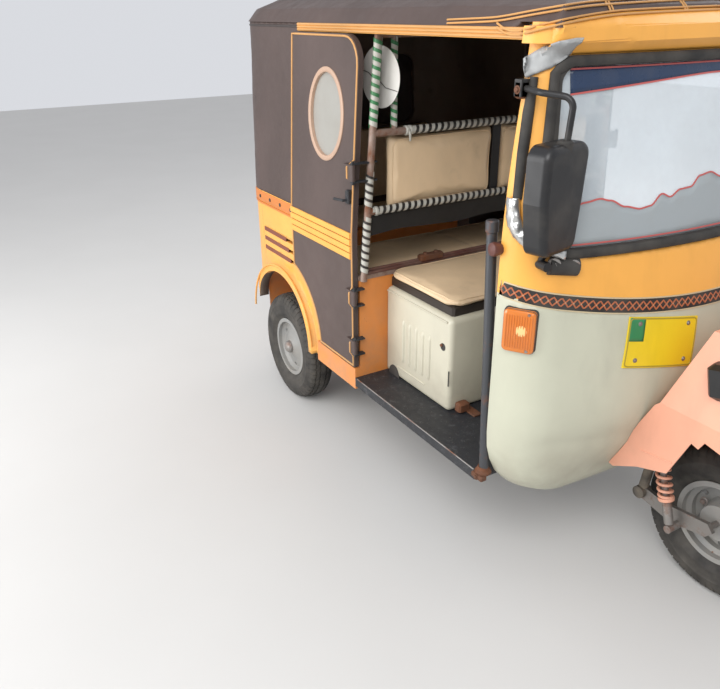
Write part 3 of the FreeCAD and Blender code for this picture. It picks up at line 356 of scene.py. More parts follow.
class Lump:
    """Gathers small forms into one mesh."""

    def __init__(self):
        self.verts, self.faces = [], []

    def add(self, verts, faces):
        base = len(self.verts)
        self.verts += [Vector(v) for v in verts]
        self.faces += [[base + i for i in face] for face in faces]
        return self

    def rings(self, rings, closed=False, caps=True):
        """Joins loops of equal length with quads; closed joins the last to the first."""
        n, count, base = len(rings[0]), len(rings), len(self.verts)
        self.verts += [Vector(v) for ring in rings for v in ring]
        for i in range(count if closed else count - 1):
            a, b = base + i * n, base + (i + 1) % count * n
            self.faces += [[a + j, a + (j + 1) % n, b + (j + 1) % n, b + j] for j in range(n)]
        if caps and not closed:
            self.faces.append([base + j for j in reversed(range(n))])
            self.faces.append([base + (count - 1) * n + j for j in range(n)])
        return self

    def tube(self, points, radius, sides=12, closed=False, flat=None):
        """A round or flattened tube along points; radius is a number or one for each point."""
        pts = [Vector(p) for p in points]
        n = len(pts)
        rings, up = [], None
        for i, p in enumerate(pts):
            before = pts[i - 1] if i or closed else p
            after = pts[(i + 1) % n] if i < n - 1 or closed else p
            along = (after - before).normalized()
            if up is None:
                up = axes_for(along)[1]
            side = along.cross(up).normalized()
            up = side.cross(along).normalized()
            r = radius[i] if isinstance(radius, (list, tuple)) else radius
            tall = r if flat is None else flat
            rings.append([p + side * r * cos + up * tall * sin for cos, sin in circle(sides)])
        return self.rings(rings, closed)

    def turned(self, at, axis, outline, sides=24):
        """A turned form: outline of (along, radius) about an axis; a radius of 0 closes it."""
        at, axis = Vector(at), Vector(axis).normalized()
        u, v = axes_for(axis)
        rings = []
        for along, r in outline:
            r = max(r, 1e-5)
            rings.append([at + axis * along + (u * cos + v * sin) * r for cos, sin in circle(sides)])
        return self.rings(rings)

    def bolt(self, at, axis, radius=0.008, height=0.006, washer=True):
        """A hexagon head on a washer."""
        if washer:
            rim = radius * 1.5
            self.turned(at, axis, [(-0.001, rim), (0.0012, rim), (0.0018, radius * 1.4)], 16)
        self.turned(at, axis, [(-0.001, radius), (height * 0.8, radius), (height, radius * 0.82)], 6)
        return self

    def block(self, lo, hi, turn=None):
        """A box with its corners eased, turned about its middle if asked."""
        lo, hi = Vector(lo), Vector(hi)
        ease = min(hi - lo) * 0.18
        middle = (lo + hi) / 2
        half = (hi - lo) / 2
        levels = [(-half.z, ease), (-half.z + ease, 0), (half.z - ease, 0), (half.z, ease)]
        rings = []
        for z, pull in levels:
            a, b, e = half.x - pull, half.y - pull, ease
            loop = [(a - e, -b), (a, -b + e), (a, b - e), (a - e, b),
                    (-a + e, b), (-a, b - e), (-a, -b + e), (-a + e, -b)]
            rings.append([middle + Vector((x, y, z)) for x, y in loop])
        if turn is not None:
            rings = [[middle + turn @ (v - middle) for v in ring] for ring in rings]
        return self.rings(rings)

    def mirrored(self):
        """Vertices and faces of the same forms on the vehicle's other side."""
        return mirror_y(self.verts), [list(reversed(face)) for face in self.faces]

    def both_sides(self):
        """Adds the same forms on the vehicle's other side."""
        return self.add(*self.mirrored())

    def make(self, name, mat, slot=None, body="root", sharp=35):
        return mesh_object(name, self.verts, self.faces, mat, slot, body, sharp)


def surface(*nodes, others=()):
    """A tree for finding places on CAD nodes and on other meshes."""
    verts, faces = [], []
    for mesh in [frame["nodes"][node].data for node in nodes] + list(others):
        base = len(verts)
        verts += [v.co.copy() for v in mesh.vertices]
        faces += [[base + i for i in p.vertices] for p in mesh.polygons]
    return BVHTree.FromPolygons(verts, faces)


def dropped(tree, points, ray):
    """Points thrown on a surface along a ray, each with the surface's outward normal."""
    found = []
    ray = Vector(ray)
    for p in points:
        hit, normal, _, _ = tree.ray_cast(Vector(p), ray)
        if hit is not None:
            found.append((hit, normal if normal.dot(ray) < 0 else -normal))
    return found


def framed(hits):
    """Each place of a line on a surface, its normal and the direction across the line."""
    for i, (p, n) in enumerate(hits):
        along = (hits[min(i + 1, len(hits) - 1)][0] - hits[max(i - 1, 0)][0]).normalized()
        yield p, n, n.cross(along).normalized()


def strip(lump, hits, outline):
    """A moulding along places on a surface; outline gives (across, out) of its section."""
    lump.rings([[p + across * a + n * h for a, h in outline] for p, n, across in framed(hits)])


def bead(lump, tree, points, ray, outline):
    """A moulding along points that are first dropped on a surface."""
    strip(lump, dropped(tree, points, ray), outline)


def line(a, b, count):
    """Evenly spaced places from a to b."""
    a, b = Vector(a), Vector(b)
    return [a.lerp(b, i / (count - 1)) for i in range(count)]


def stepped(loop, step):
    """Places along a closed loop with no gap much over a step."""
    fine = []
    for p, q in zip(loop, loop[1:] + loop[:1]):
        count = max(int(math.dist(p, q) / step), 1)
        fine += [tuple(a + (b - a) * k / count for a, b in zip(p, q)) for k in range(count)]
    return fine


def half_round(width, high):
    """Section of a piping or moulding."""
    return [(-width / 2, -0.001), (-width / 2, high * 0.35), (-width * 0.3, high * 0.85), (0, high),
            (width * 0.3, high * 0.85), (width / 2, high * 0.35), (width / 2, -0.001)]


# Wheels

WHEELS = (("front", "front_wheel", (1.015, 0.0, 0.254)),
          ("rear_right", "rear_wheel_right", (-0.865, -0.552, 0.254)),
          ("rear_left", "rear_wheel_left", (-0.865, 0.552, 0.254)))
# Tyre section from the crown out: across and radius in mm, and what the row is
CROWN = [
    (0, 254.0), (13, 253.5), (18, 252.8), (33, 250.4), (44, 246.3), (51, 240.5), (55.5, 232), (58.5, 222)
]
TREAD = [
    (0, "rib"), (12, "rib"), (13, "groove"), (17, "groove"), (18, "rib"), (31, "rib"), (32, "groove"),
    (36, "groove"), (37, "lug"), (44, "lug"), (51, "lug"), (56, "lug"), (58.5, "lug")
]
WALL = [
    (60.0, 219), (60.9, 213), (61.6, 212), (62.2, 204), (62.9, 203), (62.9, 200), (62.3, 199), (62.6, 188),
    (62.2, 178), (60.6, 169), (60.9, 168), (59.6, 164), (56, 157), (51, 149), (47, 144), (45.6, 141),
    (43.5, 138.8), (42.2, 126.4)
]
PITCHES = 54
# One pitch of the tread: share of the pitch, and whether the row is cut there
STEPS = [(0.0, 0), (0.12, 0), (0.16, 1), (0.30, 1), (0.34, 0), (0.55, 0), (0.78, 0)]
# Depths in mm of the grooves, the cuts between lugs and the sipes of the ribs, and the grooves' zigzag
GROOVE_DEEP, LUG_DEEP, SIPE_DEEP, ZIGZAG = 6.0, 4.5, 1.8, 2.4


def crown_radius(across):
    """The tyre's radius at a place across its crown, in mm."""
    for (a, ra), (b, rb) in zip(CROWN, CROWN[1:]):
        if across <= b:
            return ra + (rb - ra) * (across - a) / (b - a)
    return CROWN[-1][1]


def make_tyre(name, body, centre):
    """Road tyre with zigzag grooves and cut shoulders."""
    rows = [(-a, r, "wall") for a, r in reversed(WALL)]
    rows += [(-a, crown_radius(a), kind) for a, kind in reversed(TREAD)]
    rows += [(a, crown_radius(a), kind) for a, kind in TREAD[1:]]
    rows += [(a, r, "wall") for a, r in WALL]
    rings = []
    for i in range(PITCHES):
        for share, is_cut in STEPS:
            turn = 2 * math.pi * (i + share) / PITCHES
            zigzag = ZIGZAG * (abs(((2 * i + 2 * share) % 2) - 1) * 2 - 1)
            ring = []
            for across, radius, kind in rows:
                r = radius
                if kind == "groove":
                    r -= GROOVE_DEEP
                elif kind == "lug" and is_cut:
                    r -= LUG_DEEP
                elif kind == "rib" and is_cut and abs(across) > 5:
                    r -= SIPE_DEEP
                shift = zigzag if 10 < abs(across) < 38 and kind != "wall" else 0
                place = (r * math.cos(turn), across + shift, r * math.sin(turn))
                ring.append(tuple(c + mm / 1000 for c, mm in zip(centre, place)))
            rings.append(ring)
    lump = Lump().rings(rings, closed=True)
    tyre = lump.make("tread_" + name, "tyre_rubber", body=body, sharp=40)
    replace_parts(tyre, "tyre_" + name)


def make_wheel_fittings(name, body, centre):
    """Wheel nuts, hub cap and valve."""
    cx, cy, cz = centre
    lump = Lump()
    out = -1 if name != "rear_left" else 1
    face = cy + out * 0.004
    for i in range(5):
        a = 2 * math.pi * i / 5 + 0.3
        at = (cx + 0.078 * math.cos(a), face + out * 0.006, cz + 0.078 * math.sin(a))
        lump.bolt(at, (0, out, 0), 0.0095, 0.012)
    if name != "front":
        cap = [(-0.004, 0.030), (0.004, 0.030), (0.012, 0.028), (0.020, 0.021), (0.023, 0.010), (0.024, 0.0)]
        lump.turned((cx, cy + out * 0.044, cz), (0, out, 0), cap, 28)
    lump.make("wheel_nuts_" + name, "nut_steel", "rim_paint", body)
    valve = Lump()
    valve.tube([(cx + 0.098, face + out * 0.012, cz - 0.050), (cx + 0.103, face + out * 0.036, cz - 0.053)],
               0.0045, 10)
    valve.make("valve_" + name, "seal_rubber", "tyre_rubber", body)


def coil(lump, low, high, radius, wire, turns):
    """A coil spring from low to high, its end turns closed up."""
    low, high = Vector(low), Vector(high)
    run = high - low
    u, v = axes_for(run)
    steps = int(turns * 20)
    points = []
    for i in range(steps + 1):
        t = i / steps
        rise = 0.5 - 0.5 * math.cos(math.pi * t)
        s = 0.72 * t + 0.28 * rise
        a = 2 * math.pi * turns * t
        points.append(low + run * s + u * radius * math.cos(a) + v * radius * math.sin(a))
    lump.tube(points, wire, 8)


def make_springs():
    """Front shock absorbers and rear coil springs."""
    low, high = Vector((0.925, -0.140, 0.214)), Vector((0.804, -0.140, 0.588))
    run = (high - low).normalized()
    spring, tubes = Lump(), Lump()
    coil(spring, low + run * 0.104, high - run * 0.034, 0.0205, 0.0048, 11)
    spring.turned(low + run * 0.096, run, [(0, 0.024), (0.006, 0.0255), (0.010, 0.024)], 24)
    spring.both_sides().make("front_coils", "salmon_paint", "spring_paint", "steering")
    tubes.turned(low + run * 0.0135, run, [(0, 0.010), (0.004, 0.0145), (0.082, 0.0145), (0.086, 0.012)], 20)
    tubes.turned(low + run * 0.098, run, [(0, 0.0105), ((high - low).length - 0.112, 0.0105)], 16)
    tubes.turned(high - run * 0.034, run, [(0, 0.023), (0.012, 0.024), (0.018, 0.014), (0.022, 0.012)], 20)
    shocks = tubes.both_sides().make("shock_tubes", "grey_steel", "spring_paint", "steering")
    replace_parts(shocks, "front_shocks")
    rear = Lump()
    x, y, low_z, top_z = -0.875, -0.447, 0.2885, 0.666
    coil(rear, (x, y, low_z + 0.008), (x, y, top_z - 0.010), 0.0235, 0.0062, 8)
    seat = [(0, 0.024), (0.004, 0.029), (0.006, 0.020), (0.30, 0.012), (0.34, 0.012)]
    rear.turned((x, y, low_z), (0, 0, 1), seat, 20)
    rear.turned((x, y, top_z - 0.006), (0, 0, 1), [(0, 0.027), (0.0058, 0.027)], 20)
    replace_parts(rear.both_sides().make("rear_coils", "frame_steel"), "rear_springs")


# Soft goods

PAD_PRESSURE, PAD_FRAMES = 3.5, 18
SEAM_DEEP, SEAM_WIDE, SEAM_REACH = 0.006, 0.008, 0.03
# Name, corners, node it stands for, axis it is thick along, and where its seams lie across the vehicle
PADS = [
    ("driver_pad", (-0.170, -0.504, 0.7963), (0.239, 0.504, 0.8223), "driver_cushion", 2, ()),
    ("front_bench_pad", (-0.585, -0.588, 0.752), (-0.199, 0.588, 0.800), "bench_cushions", 2, (0.0,)),
    ("rear_bench_pad", (-1.197, -0.588, 0.752), (-0.908, 0.588, 0.800), None, 2, (-0.196, 0.196)),
    ("backrest_right", (-0.215, -0.492, 1.046), (-0.1735, -0.014, 1.313), "backrests", 0, ()),
    ("backrest_left", (-0.215, 0.014, 1.046), (-0.1735, 0.492, 1.313), None, 0, ()),
    ("rear_backrest", (-1.255, -0.438, 0.801), (-1.207, 0.438, 1.172), None, 0, (-0.146, 0.146)),
]


def settle(obj):
    """Applies every modifier to the mesh."""
    graph = bpy.context.evaluated_depsgraph_get()
    done = bpy.data.meshes.new_from_object(obj.evaluated_get(graph), depsgraph=graph)
    old = obj.data
    obj.modifiers.clear()
    obj.data = done
    bpy.data.meshes.remove(old)


def reach(obj, k):
    """The least and the greatest place of an object's vertices along one axis."""
    places = [v.co[k] for v in obj.data.vertices]
    return min(places), max(places)


def swell(obj, cap):
    """Inflates a pad as cloth, limits how far a point may move, and gives the pad back its length."""
    start = [v.co.copy() for v in obj.data.vertices]
    ends = [reach(obj, k) for k in range(3)]
    cloth = obj.modifiers.new("cloth", "CLOTH")
    cloth.settings.use_pressure = True
    cloth.settings.uniform_pressure_force = PAD_PRESSURE
    cloth.settings.effector_weights.gravity = 0
    cloth.settings.quality = 4
    cloth.settings.tension_stiffness = 12
    cloth.settings.compression_stiffness = 12
    cloth.settings.bending_stiffness = 1.5
    cloth.point_cache.frame_end = PAD_FRAMES
    for f in range(1, PAD_FRAMES + 1):
        bpy.context.scene.frame_set(f)
    settle(obj)
    bpy.context.scene.frame_set(1)
    for v, at in zip(obj.data.vertices, start):
        move = v.co - at
        if move.length > cap:
            v.co = at + move * (cap / move.length)
    thinnest = min(high - low for low, high in ends)
    for k, (low, high) in enumerate(ends):
        if high - low > 2 * thinnest:
            a, b = reach(obj, k)
            for v in obj.data.vertices:
                v.co[k] = low + (v.co[k] - a) * (high - low) / (b - a)


def rounded_box(lo, hi, radius, plan=0.0):
    """A box with all its edges rounded, its upright ones wider if asked."""
    lo, hi = Vector(lo), Vector(hi)
    bm = bmesh.new()
    bmesh.ops.create_cube(bm, size=1)
    for v in bm.verts:
        v.co = Vector((lo[i] + (v.co[i] + 0.5) * (hi[i] - lo[i]) for i in range(3)))
    edges = bm.edges
    if plan:
        upright = [e for e in bm.edges if abs(e.verts[0].co.z - e.verts[1].co.z) > 1e-4]
        bmesh.ops.bevel(bm, geom=upright, offset=plan, segments=8, profile=0.5, affect="EDGES")
        edges = [e for e in bm.edges if len(e.link_faces) == 2 and e.calc_face_angle(0) > 1.2]
    bmesh.ops.bevel(bm, geom=edges, offset=radius, segments=4, profile=0.5, affect="EDGES")
    return bm


def make_pad(name, lo, hi, replaced, axis, seams):
    """A stuffed pad in the space between two corners, with sewn channels pressed in across it."""
    thin = min(Vector(hi) - Vector(lo))
    is_flat = thin < 0.03
    inset = Vector((min(0.005, thin * 0.16),) * 3)
    lo, hi = Vector(lo) + inset, Vector(hi) - inset
    plan = 0.055 if name == "driver_pad" else 0.0
    obj = from_bmesh(name, rounded_box(lo, hi, min(0.012, thin * 0.36), plan))
    remesh = obj.modifiers.new("remesh", "REMESH")
    remesh.mode = "VOXEL"
    remesh.voxel_size = 0.009 if is_flat else 0.011
    settle(obj)
    swell(obj, 0.010 if is_flat else 0.014)
    middle = (lo[axis] + hi[axis]) / 2
    for v in obj.data.vertices:
        for place in seams:
            gap = abs(v.co.y - place)
            if gap < SEAM_REACH:
                push = SEAM_DEEP * math.exp(-(gap / SEAM_WIDE) ** 2)
                v.co[axis] += -push if v.co[axis] > middle else push
    smooth(obj.data)
    obj.modifiers.new("fine", "SUBSURF").levels = 1
    settle(obj)
    obj.data.materials.clear()
    obj.data.materials.append(M["seat_vinyl"])
    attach(obj, "root")
    if replaced:
        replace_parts(obj, replaced)
    return obj


def pad_piping(name, obj, axis, radius=0.0024, inset=0.012):
    """Piping sewn round the top or front of a pad, laid on the pad's own surface."""
    tree = surface(others=[obj.data])
    u, w = [i for i in range(3) if i != axis]
    (u0, u1), (w0, w1) = reach(obj, u), reach(obj, w)
    loop = [((u0 + u1) / 2 + a, (w0 + w1) / 2 + b)
            for a, b in rounded_loop(u1 - u0 - 2 * inset, w1 - w0 - 2 * inset, 0.03, 6)]
    start, ray = Vector((0, 0, 0)), Vector((0, 0, 0))
    start[axis], ray[axis] = reach(obj, axis)[1] + 0.3, -1
    points = []
    for a, b in stepped(loop, 0.02):
        start[u], start[w] = a, b
        hit = tree.ray_cast(start, ray)[0]
        if hit is not None:
            points.append(hit - ray * radius * 0.3)
    Lump().tube(points, radius, 8, closed=True).make(name, "seat_vinyl")


def make_soft_goods():
    """Seat and backrest pads with their piping."""
    for name, lo, hi, node, axis, seams in PADS:
        pad_piping(name + "_piping", make_pad(name, lo, hi, node, axis, seams), axis)


# Trim on the body

# Side view of a door: its box, its upper corner's radius, and the wheel arch's centre and radius
DOOR = {"x0": -0.680, "x1": -0.177, "z0": 0.446, "z1": 1.638, "corner": 0.095,
        "cx": -0.776, "cz": 0.420, "r": 0.320}
# Height of the body's widest line, and how far the wall leans in over how much height above it
BELT_TOP, WALL_LEAN, WALL_HIGH = 0.972, 0.040, 0.696
# The rear body in plan: half its width, its rear end and its corners' radius
BODY_HALF, BODY_REAR, BODY_CORNER = 0.616, -1.285, 0.240


def door_edge(inset):
    """Side view of the door's edge, less an inset, as (x, z) places from its foot round to its foot."""
    x0, x1, z0, z1 = DOOR["x0"] + inset, DOOR["x1"] - inset, DOOR["z0"] + inset, DOOR["z1"] - inset
    r, c, cx, cz = DOOR["r"] + inset, DOOR["corner"] - inset, DOOR["cx"], DOOR["cz"]
    foot = cx + math.sqrt(r * r - (z0 - cz) ** 2)
    meet = cz + math.sqrt(r * r - (x0 - cx) ** 2)
    a0, a1 = math.atan2(meet - cz, x0 - cx), math.atan2(z0 - cz, foot - cx)
    path = [(foot, z0), (x1, z0), (x1, z1 - c)]
    for k in range(1, 6):
        a = math.radians(15 * k)
        path.append((x1 - c + c * math.cos(a), z1 - c + c * math.sin(a)))
    path += [(x1 - c, z1), (x0, z1), (x0, meet)]
    for k in range(1, 12):
        a = a0 + (a1 - a0) * k / 12
        path.append((cx + r * math.cos(a), cz + r * math.sin(a)))
    fine = stepped(path, 0.02)
    return fine + fine[:1]


def lean(z):
    """How far the wall leans in at a height."""
    return WALL_LEAN * max(z - BELT_TOP, 0) / WALL_HIGH


def door_y(z, out=0.0):
    """The door's outer face on the right side at a height."""
    return -0.642 + lean(z) - out


def make_door_trim():
    """Piping, belt mouldings, oval pane and latch of each door."""
    tree = surface("door_right")
    piping, slats, pane, rim, latch = Lump(), Lump(), Lump(), Lump(), Lump()
    along_door = [(x, -0.8, z) for x, z in door_edge(0.007)]
    bead(piping, tree, along_door, (0, 1, 0), half_round(0.007, 0.0038))
    square = [(-0.011, -0.001), (-0.011, 0.004), (-0.008, 0.0062),
              (0.008, 0.0062), (0.011, 0.004), (0.011, -0.001)]
    for i in range(4):
        z = 0.892 + 0.0255 * i
        bead(slats, tree, line((-0.676, -0.8, z), (-0.190, -0.8, z), 24), (0, 1, 0), square)
    cx, cz, wide, high = -0.395, 1.368, 0.118, 0.148

    def oval(grow, out):
        """The pane's outline, grown and set out from the door."""
        ring = []
        for across, up in circle(64):
            z = cz + (high + grow) * up
            ring.append(Vector((cx + (wide + grow) * across, door_y(z, out), z)))
        return ring
    pane.rings([oval(0.004, -0.012), oval(0.004, -0.009)])
    rim.rings([oval(-0.004, -0.010), oval(-0.004, 0.003), oval(0.001, 0.0062), oval(0.009, 0.0062),
               oval(0.014, 0.003), oval(0.014, -0.001)], caps=False)
    latch.block((-0.212, door_y(1.10, 0.016), 1.085), (-0.190, door_y(1.10, -0.001), 1.135))
    latch.tube([(-0.201, door_y(1.1, 0.014), 1.10), (-0.201, door_y(1.1, 0.030), 1.10),
                (-0.258, door_y(1.1, 0.034), 1.096)], 0.005, 10)
    for z in (0.50, 0.74, 1.20):
        for x in (-0.200, -0.190):
            latch.bolt((x - 0.012, door_y(z), z + 0.014), (0, -1, 0), 0.004, 0.003)
    for lump, name, mat, slot_name in ((piping, "door_piping", "piping_orange", "yellow_paint"),
                                       (slats, "door_mouldings", "yellow_paint", "yellow_paint"),
                                       (pane, "door_pane", "milky_pane", "dark_vinyl"),
                                       (rim, "door_pane_rim", "rim_pink", "dark_vinyl"),
                                       (latch, "door_latch", "black_metal", "black_metal")):
        lump.make(name + "_right", mat, slot_name, "door_right")
        Lump().add(*lump.mirrored()).make(name + "_left", mat, slot_name, "door_left")


def rear_path(z, x_from, step=0.02):
    """Level path round the rear body from the right side to the left, with its outward normals."""
    half, rear, corner = BODY_HALF - lean(z), BODY_REAR - lean(z), BODY_CORNER
    path = []
    n = int((x_from - rear - corner) / step)
    for k in range(n + 1):
        path.append((Vector((x_from + (rear + corner - x_from) * k / n, -half, 0)), Vector((0, -1, 0))))
    for k in range(1, 13):
        a = math.radians(-90 - 7.5 * k)
        n_out = Vector((math.cos(a), math.sin(a), 0))
        path.append((Vector((rear + corner, -half + corner, 0)) + n_out * corner, n_out))
    m = int((half - corner) / step)
    for k in range(1, m + 1):
        path.append((Vector((rear, (-half + corner) * (1 - k / m), 0)), Vector((-1, 0, 0))))
    far = [(Vector((p.x, -p.y, 0)), Vector((q.x, -q.y, 0))) for p, q in reversed(path[:-1])]
    return path + far


def level_strip(lump, path, z, outline):
    """A moulding along a level path at a height; outline gives (up, out)."""
    lump.rings([[Vector((p.x, p.y, z + up)) + n * out for up, out in outline] for p, n in path])


def make_body_trim():
    """Belt strip with its screws, wheel arch edges, hood piping and gutter mouldings."""
    belt, screws, arch, seam, gutter = Lump(), Lump(), Lump(), Lump(), Lump()
    belt_z, seam_z = 0.946, 1.655
    path = rear_path(belt_z, -0.690)
    level_strip(belt, path, belt_z, [(-0.022, -0.001), (-0.022, 0.003), (-0.018, 0.005), (0.018, 0.005),
                                     (0.022, 0.003), (0.022, -0.001)])
    level_strip(belt, path, belt_z - 0.030, half_round(0.010, 0.006))
    for k, (p, n) in enumerate(path):
        if k % 5 == 2:
            screws.bolt(Vector((p.x, p.y, belt_z)) + n * 0.005, n, 0.0055, 0.003)
    belt.make("belt_strip", "belt_orange", "yellow_paint")
    screws.make("belt_screws", "black_metal", "yellow_paint")
    for side in (-1, 1):
        edge = []
        for k in range(31):
            a = math.radians(-2 + 184 * k / 30)
            edge.append((-0.850 + 0.300 * math.cos(a), side * 0.640, 0.365 + 0.300 * math.sin(a)))
        arch.tube([p for p in edge if p[2] > 0.362 and p[0] > -1.15], 0.0045, 8)
    arch.make("arch_beads", "yellow_paint")
    level_strip(seam, rear_path(seam_z, -0.664), seam_z, half_round(0.009, 0.0045))
    seam.make("hood_piping", "piping_dark", "dark_vinyl")
    rail_half, ridge = 0.586, half_round(0.0075, 0.0042)
    for side in (-1, 1):
        for k in range(3):
            y, z = side * rail_half, 1.6455 + 0.009 * k
            pts = line((-0.660, y, z), (0.600, y, z), 30)
            gutter.rings([[p + Vector((0, side * out, up)) for up, out in ridge] for p in pts])
    gutter.make("gutter_ridges", "piping_orange", "yellow_paint")


# Tape-wound tubes, cowl ornament and glass

def ribbon(lump, a, b, tube, pitch, width, start=0.0, lift=0.0014):
    """A flat tape wound round a tube from a to b."""
    a, b = Vector(a), Vector(b)
    run = b - a
    length = run.length
    d = run.normalized()
    u, v = axes_for(d)
    per_turn = 20
    count = int(length / pitch * per_turn)
    rings = []
    for i in range(count + 1):
        s = i / per_turn * pitch
        ang = 2 * math.pi * i / per_turn + start
        out = u * math.cos(ang) + v * math.sin(ang)
        at = a + d * min(s, length)
        r = tube + lift + 0.0004 * math.sin(3.1 * i / per_turn + start)
        half = d * (width / 2)
        rings.append([at - half + out * (tube - 0.001), at - half + out * r, at + half + out * (r + 0.0003),
                      at + half + out * (tube - 0.001)])
    return lump.rings(rings)


def make_ribbons():
    """Striped tape on the partition's posts and rails."""
    x, r, pitch = -0.160, 0.013, 0.027
    low, high = 1.056, 1.325
    light, dark, green, ends = Lump(), Lump(), Lump(), Lump()

    def post_y(z):
        return -0.607 + 0.0643 * (z - 0.8003) / (1.638 - 0.8003)

    def rail_end(z):
        return -post_y(z) - 0.021
    # Each run: its ends, the tube's radius, the second tape and that tape's share of the pitch
    runs = []
    for side in (1, -1):
        for foot, top, tape, share in ((0.835, 1.035, dark, 0.26), (1.078, 1.19, dark, 0.26),
                                       (1.350, 1.622, green, 0.44)):
            runs.append(((x, side * post_y(foot), foot), (x, side * post_y(top), top), r, tape, share))
        runs.append(((x, side * -0.480, 1.345), (x, side * -0.480, 1.622), 0.010, green, 0.44))
    runs += [((x, -rail_end(low), low), (x, rail_end(low), low), r, dark, 0.44),
             ((x, -0.430, high), (x, rail_end(high) - 0.02, high), r, dark, 0.44)]
    for a, b, tube, tape, share in runs:
        ribbon(light, a, b, tube, pitch, pitch * 0.60)
        ribbon(tape, a, b, tube, pitch, pitch * share, math.pi, 0.0022)
    light.make("tape_light", "tape_white", "ribbon_tube")
    dark.make("tape_dark", "tape_black", "ribbon_tube")
    green.make("tape_green", "tape_green", "ribbon_tube")
    knot = [(0, 0.0135), (0.004, 0.0175), (0.012, 0.017), (0.016, 0.0135)]
    for z, y in ((high, -0.430), (high, -0.415), (low, -rail_end(low) + 0.01)):
        ends.turned((x, y - 0.006, z), (0, 1, 0), knot, 14)
    tail = [(x + 0.014, -0.424, high), (x + 0.022, -0.426, high - 0.014), (x + 0.020, -0.424, high - 0.034)]
    ends.tube(tail, [0.003, 0.0045, 0.0035], 8)
    ends.make("tape_knots", "tape_white", "ribbon_tube")


def cowl_points(z_at, count):
    """Places on the cowl at the heights z_at gives by the place across, with normals."""
    tree = surface("cowl_lower", "cowl_upper")
    reach_angle, cowl_rear = 100, 0.6005
    hits = []
    for k in range(count):
        a = math.radians(-reach_angle + 2 * reach_angle * k / (count - 1))
        d = Vector((math.cos(a), math.sin(a), 0))
        z = 1.0
        near = []
        for _ in range(3):
            near = dropped(tree, [Vector((0.604, 0, z)) + d * 1.4], -d) or near
            if near:
                z = z_at(near[0][0].y)
        hits += [(p, n) for p, n in near if p.x > cowl_rear]
    return hits


def split_z(y):
    """Height of the line where the cowl's two colours meet, an arc that rises to the sides."""
    rise, half, low = 0.078, 0.720, 0.946
    radius = (half * half + rise * rise) / (2 * rise)
    return low + radius - math.sqrt(radius * radius - y * y)


def make_ornament():
    """Dark band with a zigzag along the cowl's colour split."""
    half, period, zig_high = 0.019, 0.046, 0.012

    def middle(y):
        return split_z(y) + 0.004 + 0.012 * (y / 0.64) ** 2
    base = cowl_points(middle, 170)
    band, edge, zig, dots = Lump(), Lump(), Lump(), Lump()
    strip(band, base, [(-half, -0.001), (-half, 0.0012), (half, 0.0012), (half, -0.001)])
    for across in (-half - 0.002, half + 0.002):
        strip(edge, base, [(across - 0.0022, -0.001), (across - 0.0018, 0.0022), (across + 0.0018, 0.0022),
                           (across + 0.0022, -0.001)])
    fine = []
    for (p, n), (q, m) in zip(base, base[1:]):
        fine += [(p.lerp(q, k / 4), n.lerp(m, k / 4).normalized()) for k in range(4)]
    lengths = [0.0]
    for (p, _), (q, _) in zip(fine, fine[1:]):
        lengths.append(lengths[-1] + (q - p).length)
    for phase in (0.0, 0.5):
        path = []
        for (p, n, across), s in zip(framed(fine), lengths):
            wave = abs(((s / period + phase) % 1) * 2 - 1) * 2 - 1
            path.append((p + across * wave * zig_high + n * 0.0012, n))
        strip(zig, path, [(-0.0024, -0.0005), (-0.0016, 0.0014), (0.0016, 0.0014), (0.0024, -0.0005)])
    for k in range(int(lengths[-1] / (period / 2))):
        target = (k + 0.5) * period / 2
        p, n = fine[min(range(len(lengths)), key=lambda j: abs(lengths[j] - target))]
        dots.turned(p + n * 0.001, n, [(0, 0.0026), (0.0015, 0.0022), (0.0018, 0)], 8)
    band.make("ornament_band", "band_dark", "yellow_paint")
    edge.make("ornament_edges", "band_edge", "yellow_paint")
    zig.make("ornament_zigzag", "band_copper", "yellow_paint", sharp=20)
    dots.make("ornament_dots", "band_dots", "yellow_paint")


def sheet(name, rows, mat, slot_name, thick=0.0009, offset=-1):
    """A thin sheet through rows of places."""
    n = len(rows[0])
    faces = [[j * n + i, j * n + i + 1, (j + 1) * n + i + 1, (j + 1) * n + i]
             for j in range(len(rows) - 1) for i in range(n - 1)]
    obj = mesh_object(name, [v for row in rows for v in row], faces, mat, slot_name)
    solid = obj.modifiers.new("thick", "SOLIDIFY")
    solid.thickness = thick
    solid.offset = offset
    settle(obj)
    return obj


def patch(name, tree, place, ray, across, up, lift, mat, slot_name, wobble=0.0, thick=0.0008):
    """A sheet whose places, a function of (s, t), are dropped on a surface."""
    ray = Vector(ray)
    rows = []
    for j in range(up + 1):
        row = []
        for i in range(across + 1):
            p = Vector(place(i / across, j / up))
            hit, normal, _, _ = tree.ray_cast(p, ray)
            if hit is None:
                hit, normal, _, _ = tree.find_nearest(p)
            normal = normal if normal.dot(ray) < 0 else -normal
            row.append(hit + normal * (lift + wobble * (rng.random() - 0.2)))
        rows.append(row)
    sheet(name, rows, mat, slot_name, thick, 1)


# The tinted film's wavy upper edge: place across and height
WAVE = [(-0.545, 1.225), (-0.469, 1.254), (-0.425, 1.260), (-0.395, 1.253), (-0.348, 1.233), (-0.300, 1.223),
        (-0.266, 1.227), (-0.225, 1.254), (-0.196, 1.243), (-0.159, 1.259), (-0.120, 1.261), (-0.080, 1.287),
        (-0.039, 1.292), (0.005, 1.276), (0.050, 1.250), (0.120, 1.238), (0.190, 1.252), (0.250, 1.243),
        (0.310, 1.228), (0.380, 1.250), (0.450, 1.262), (0.545, 1.228)]


def along_table(table, x):
    """A smooth line through a table's places."""
    for (a, za), (b, zb) in zip(table, table[1:]):
        if x <= b:
            t = min(max((x - a) / (b - a), 0), 1)
            return za + (zb - za) * (t * t * (3 - 2 * t))
    return table[-1][1]


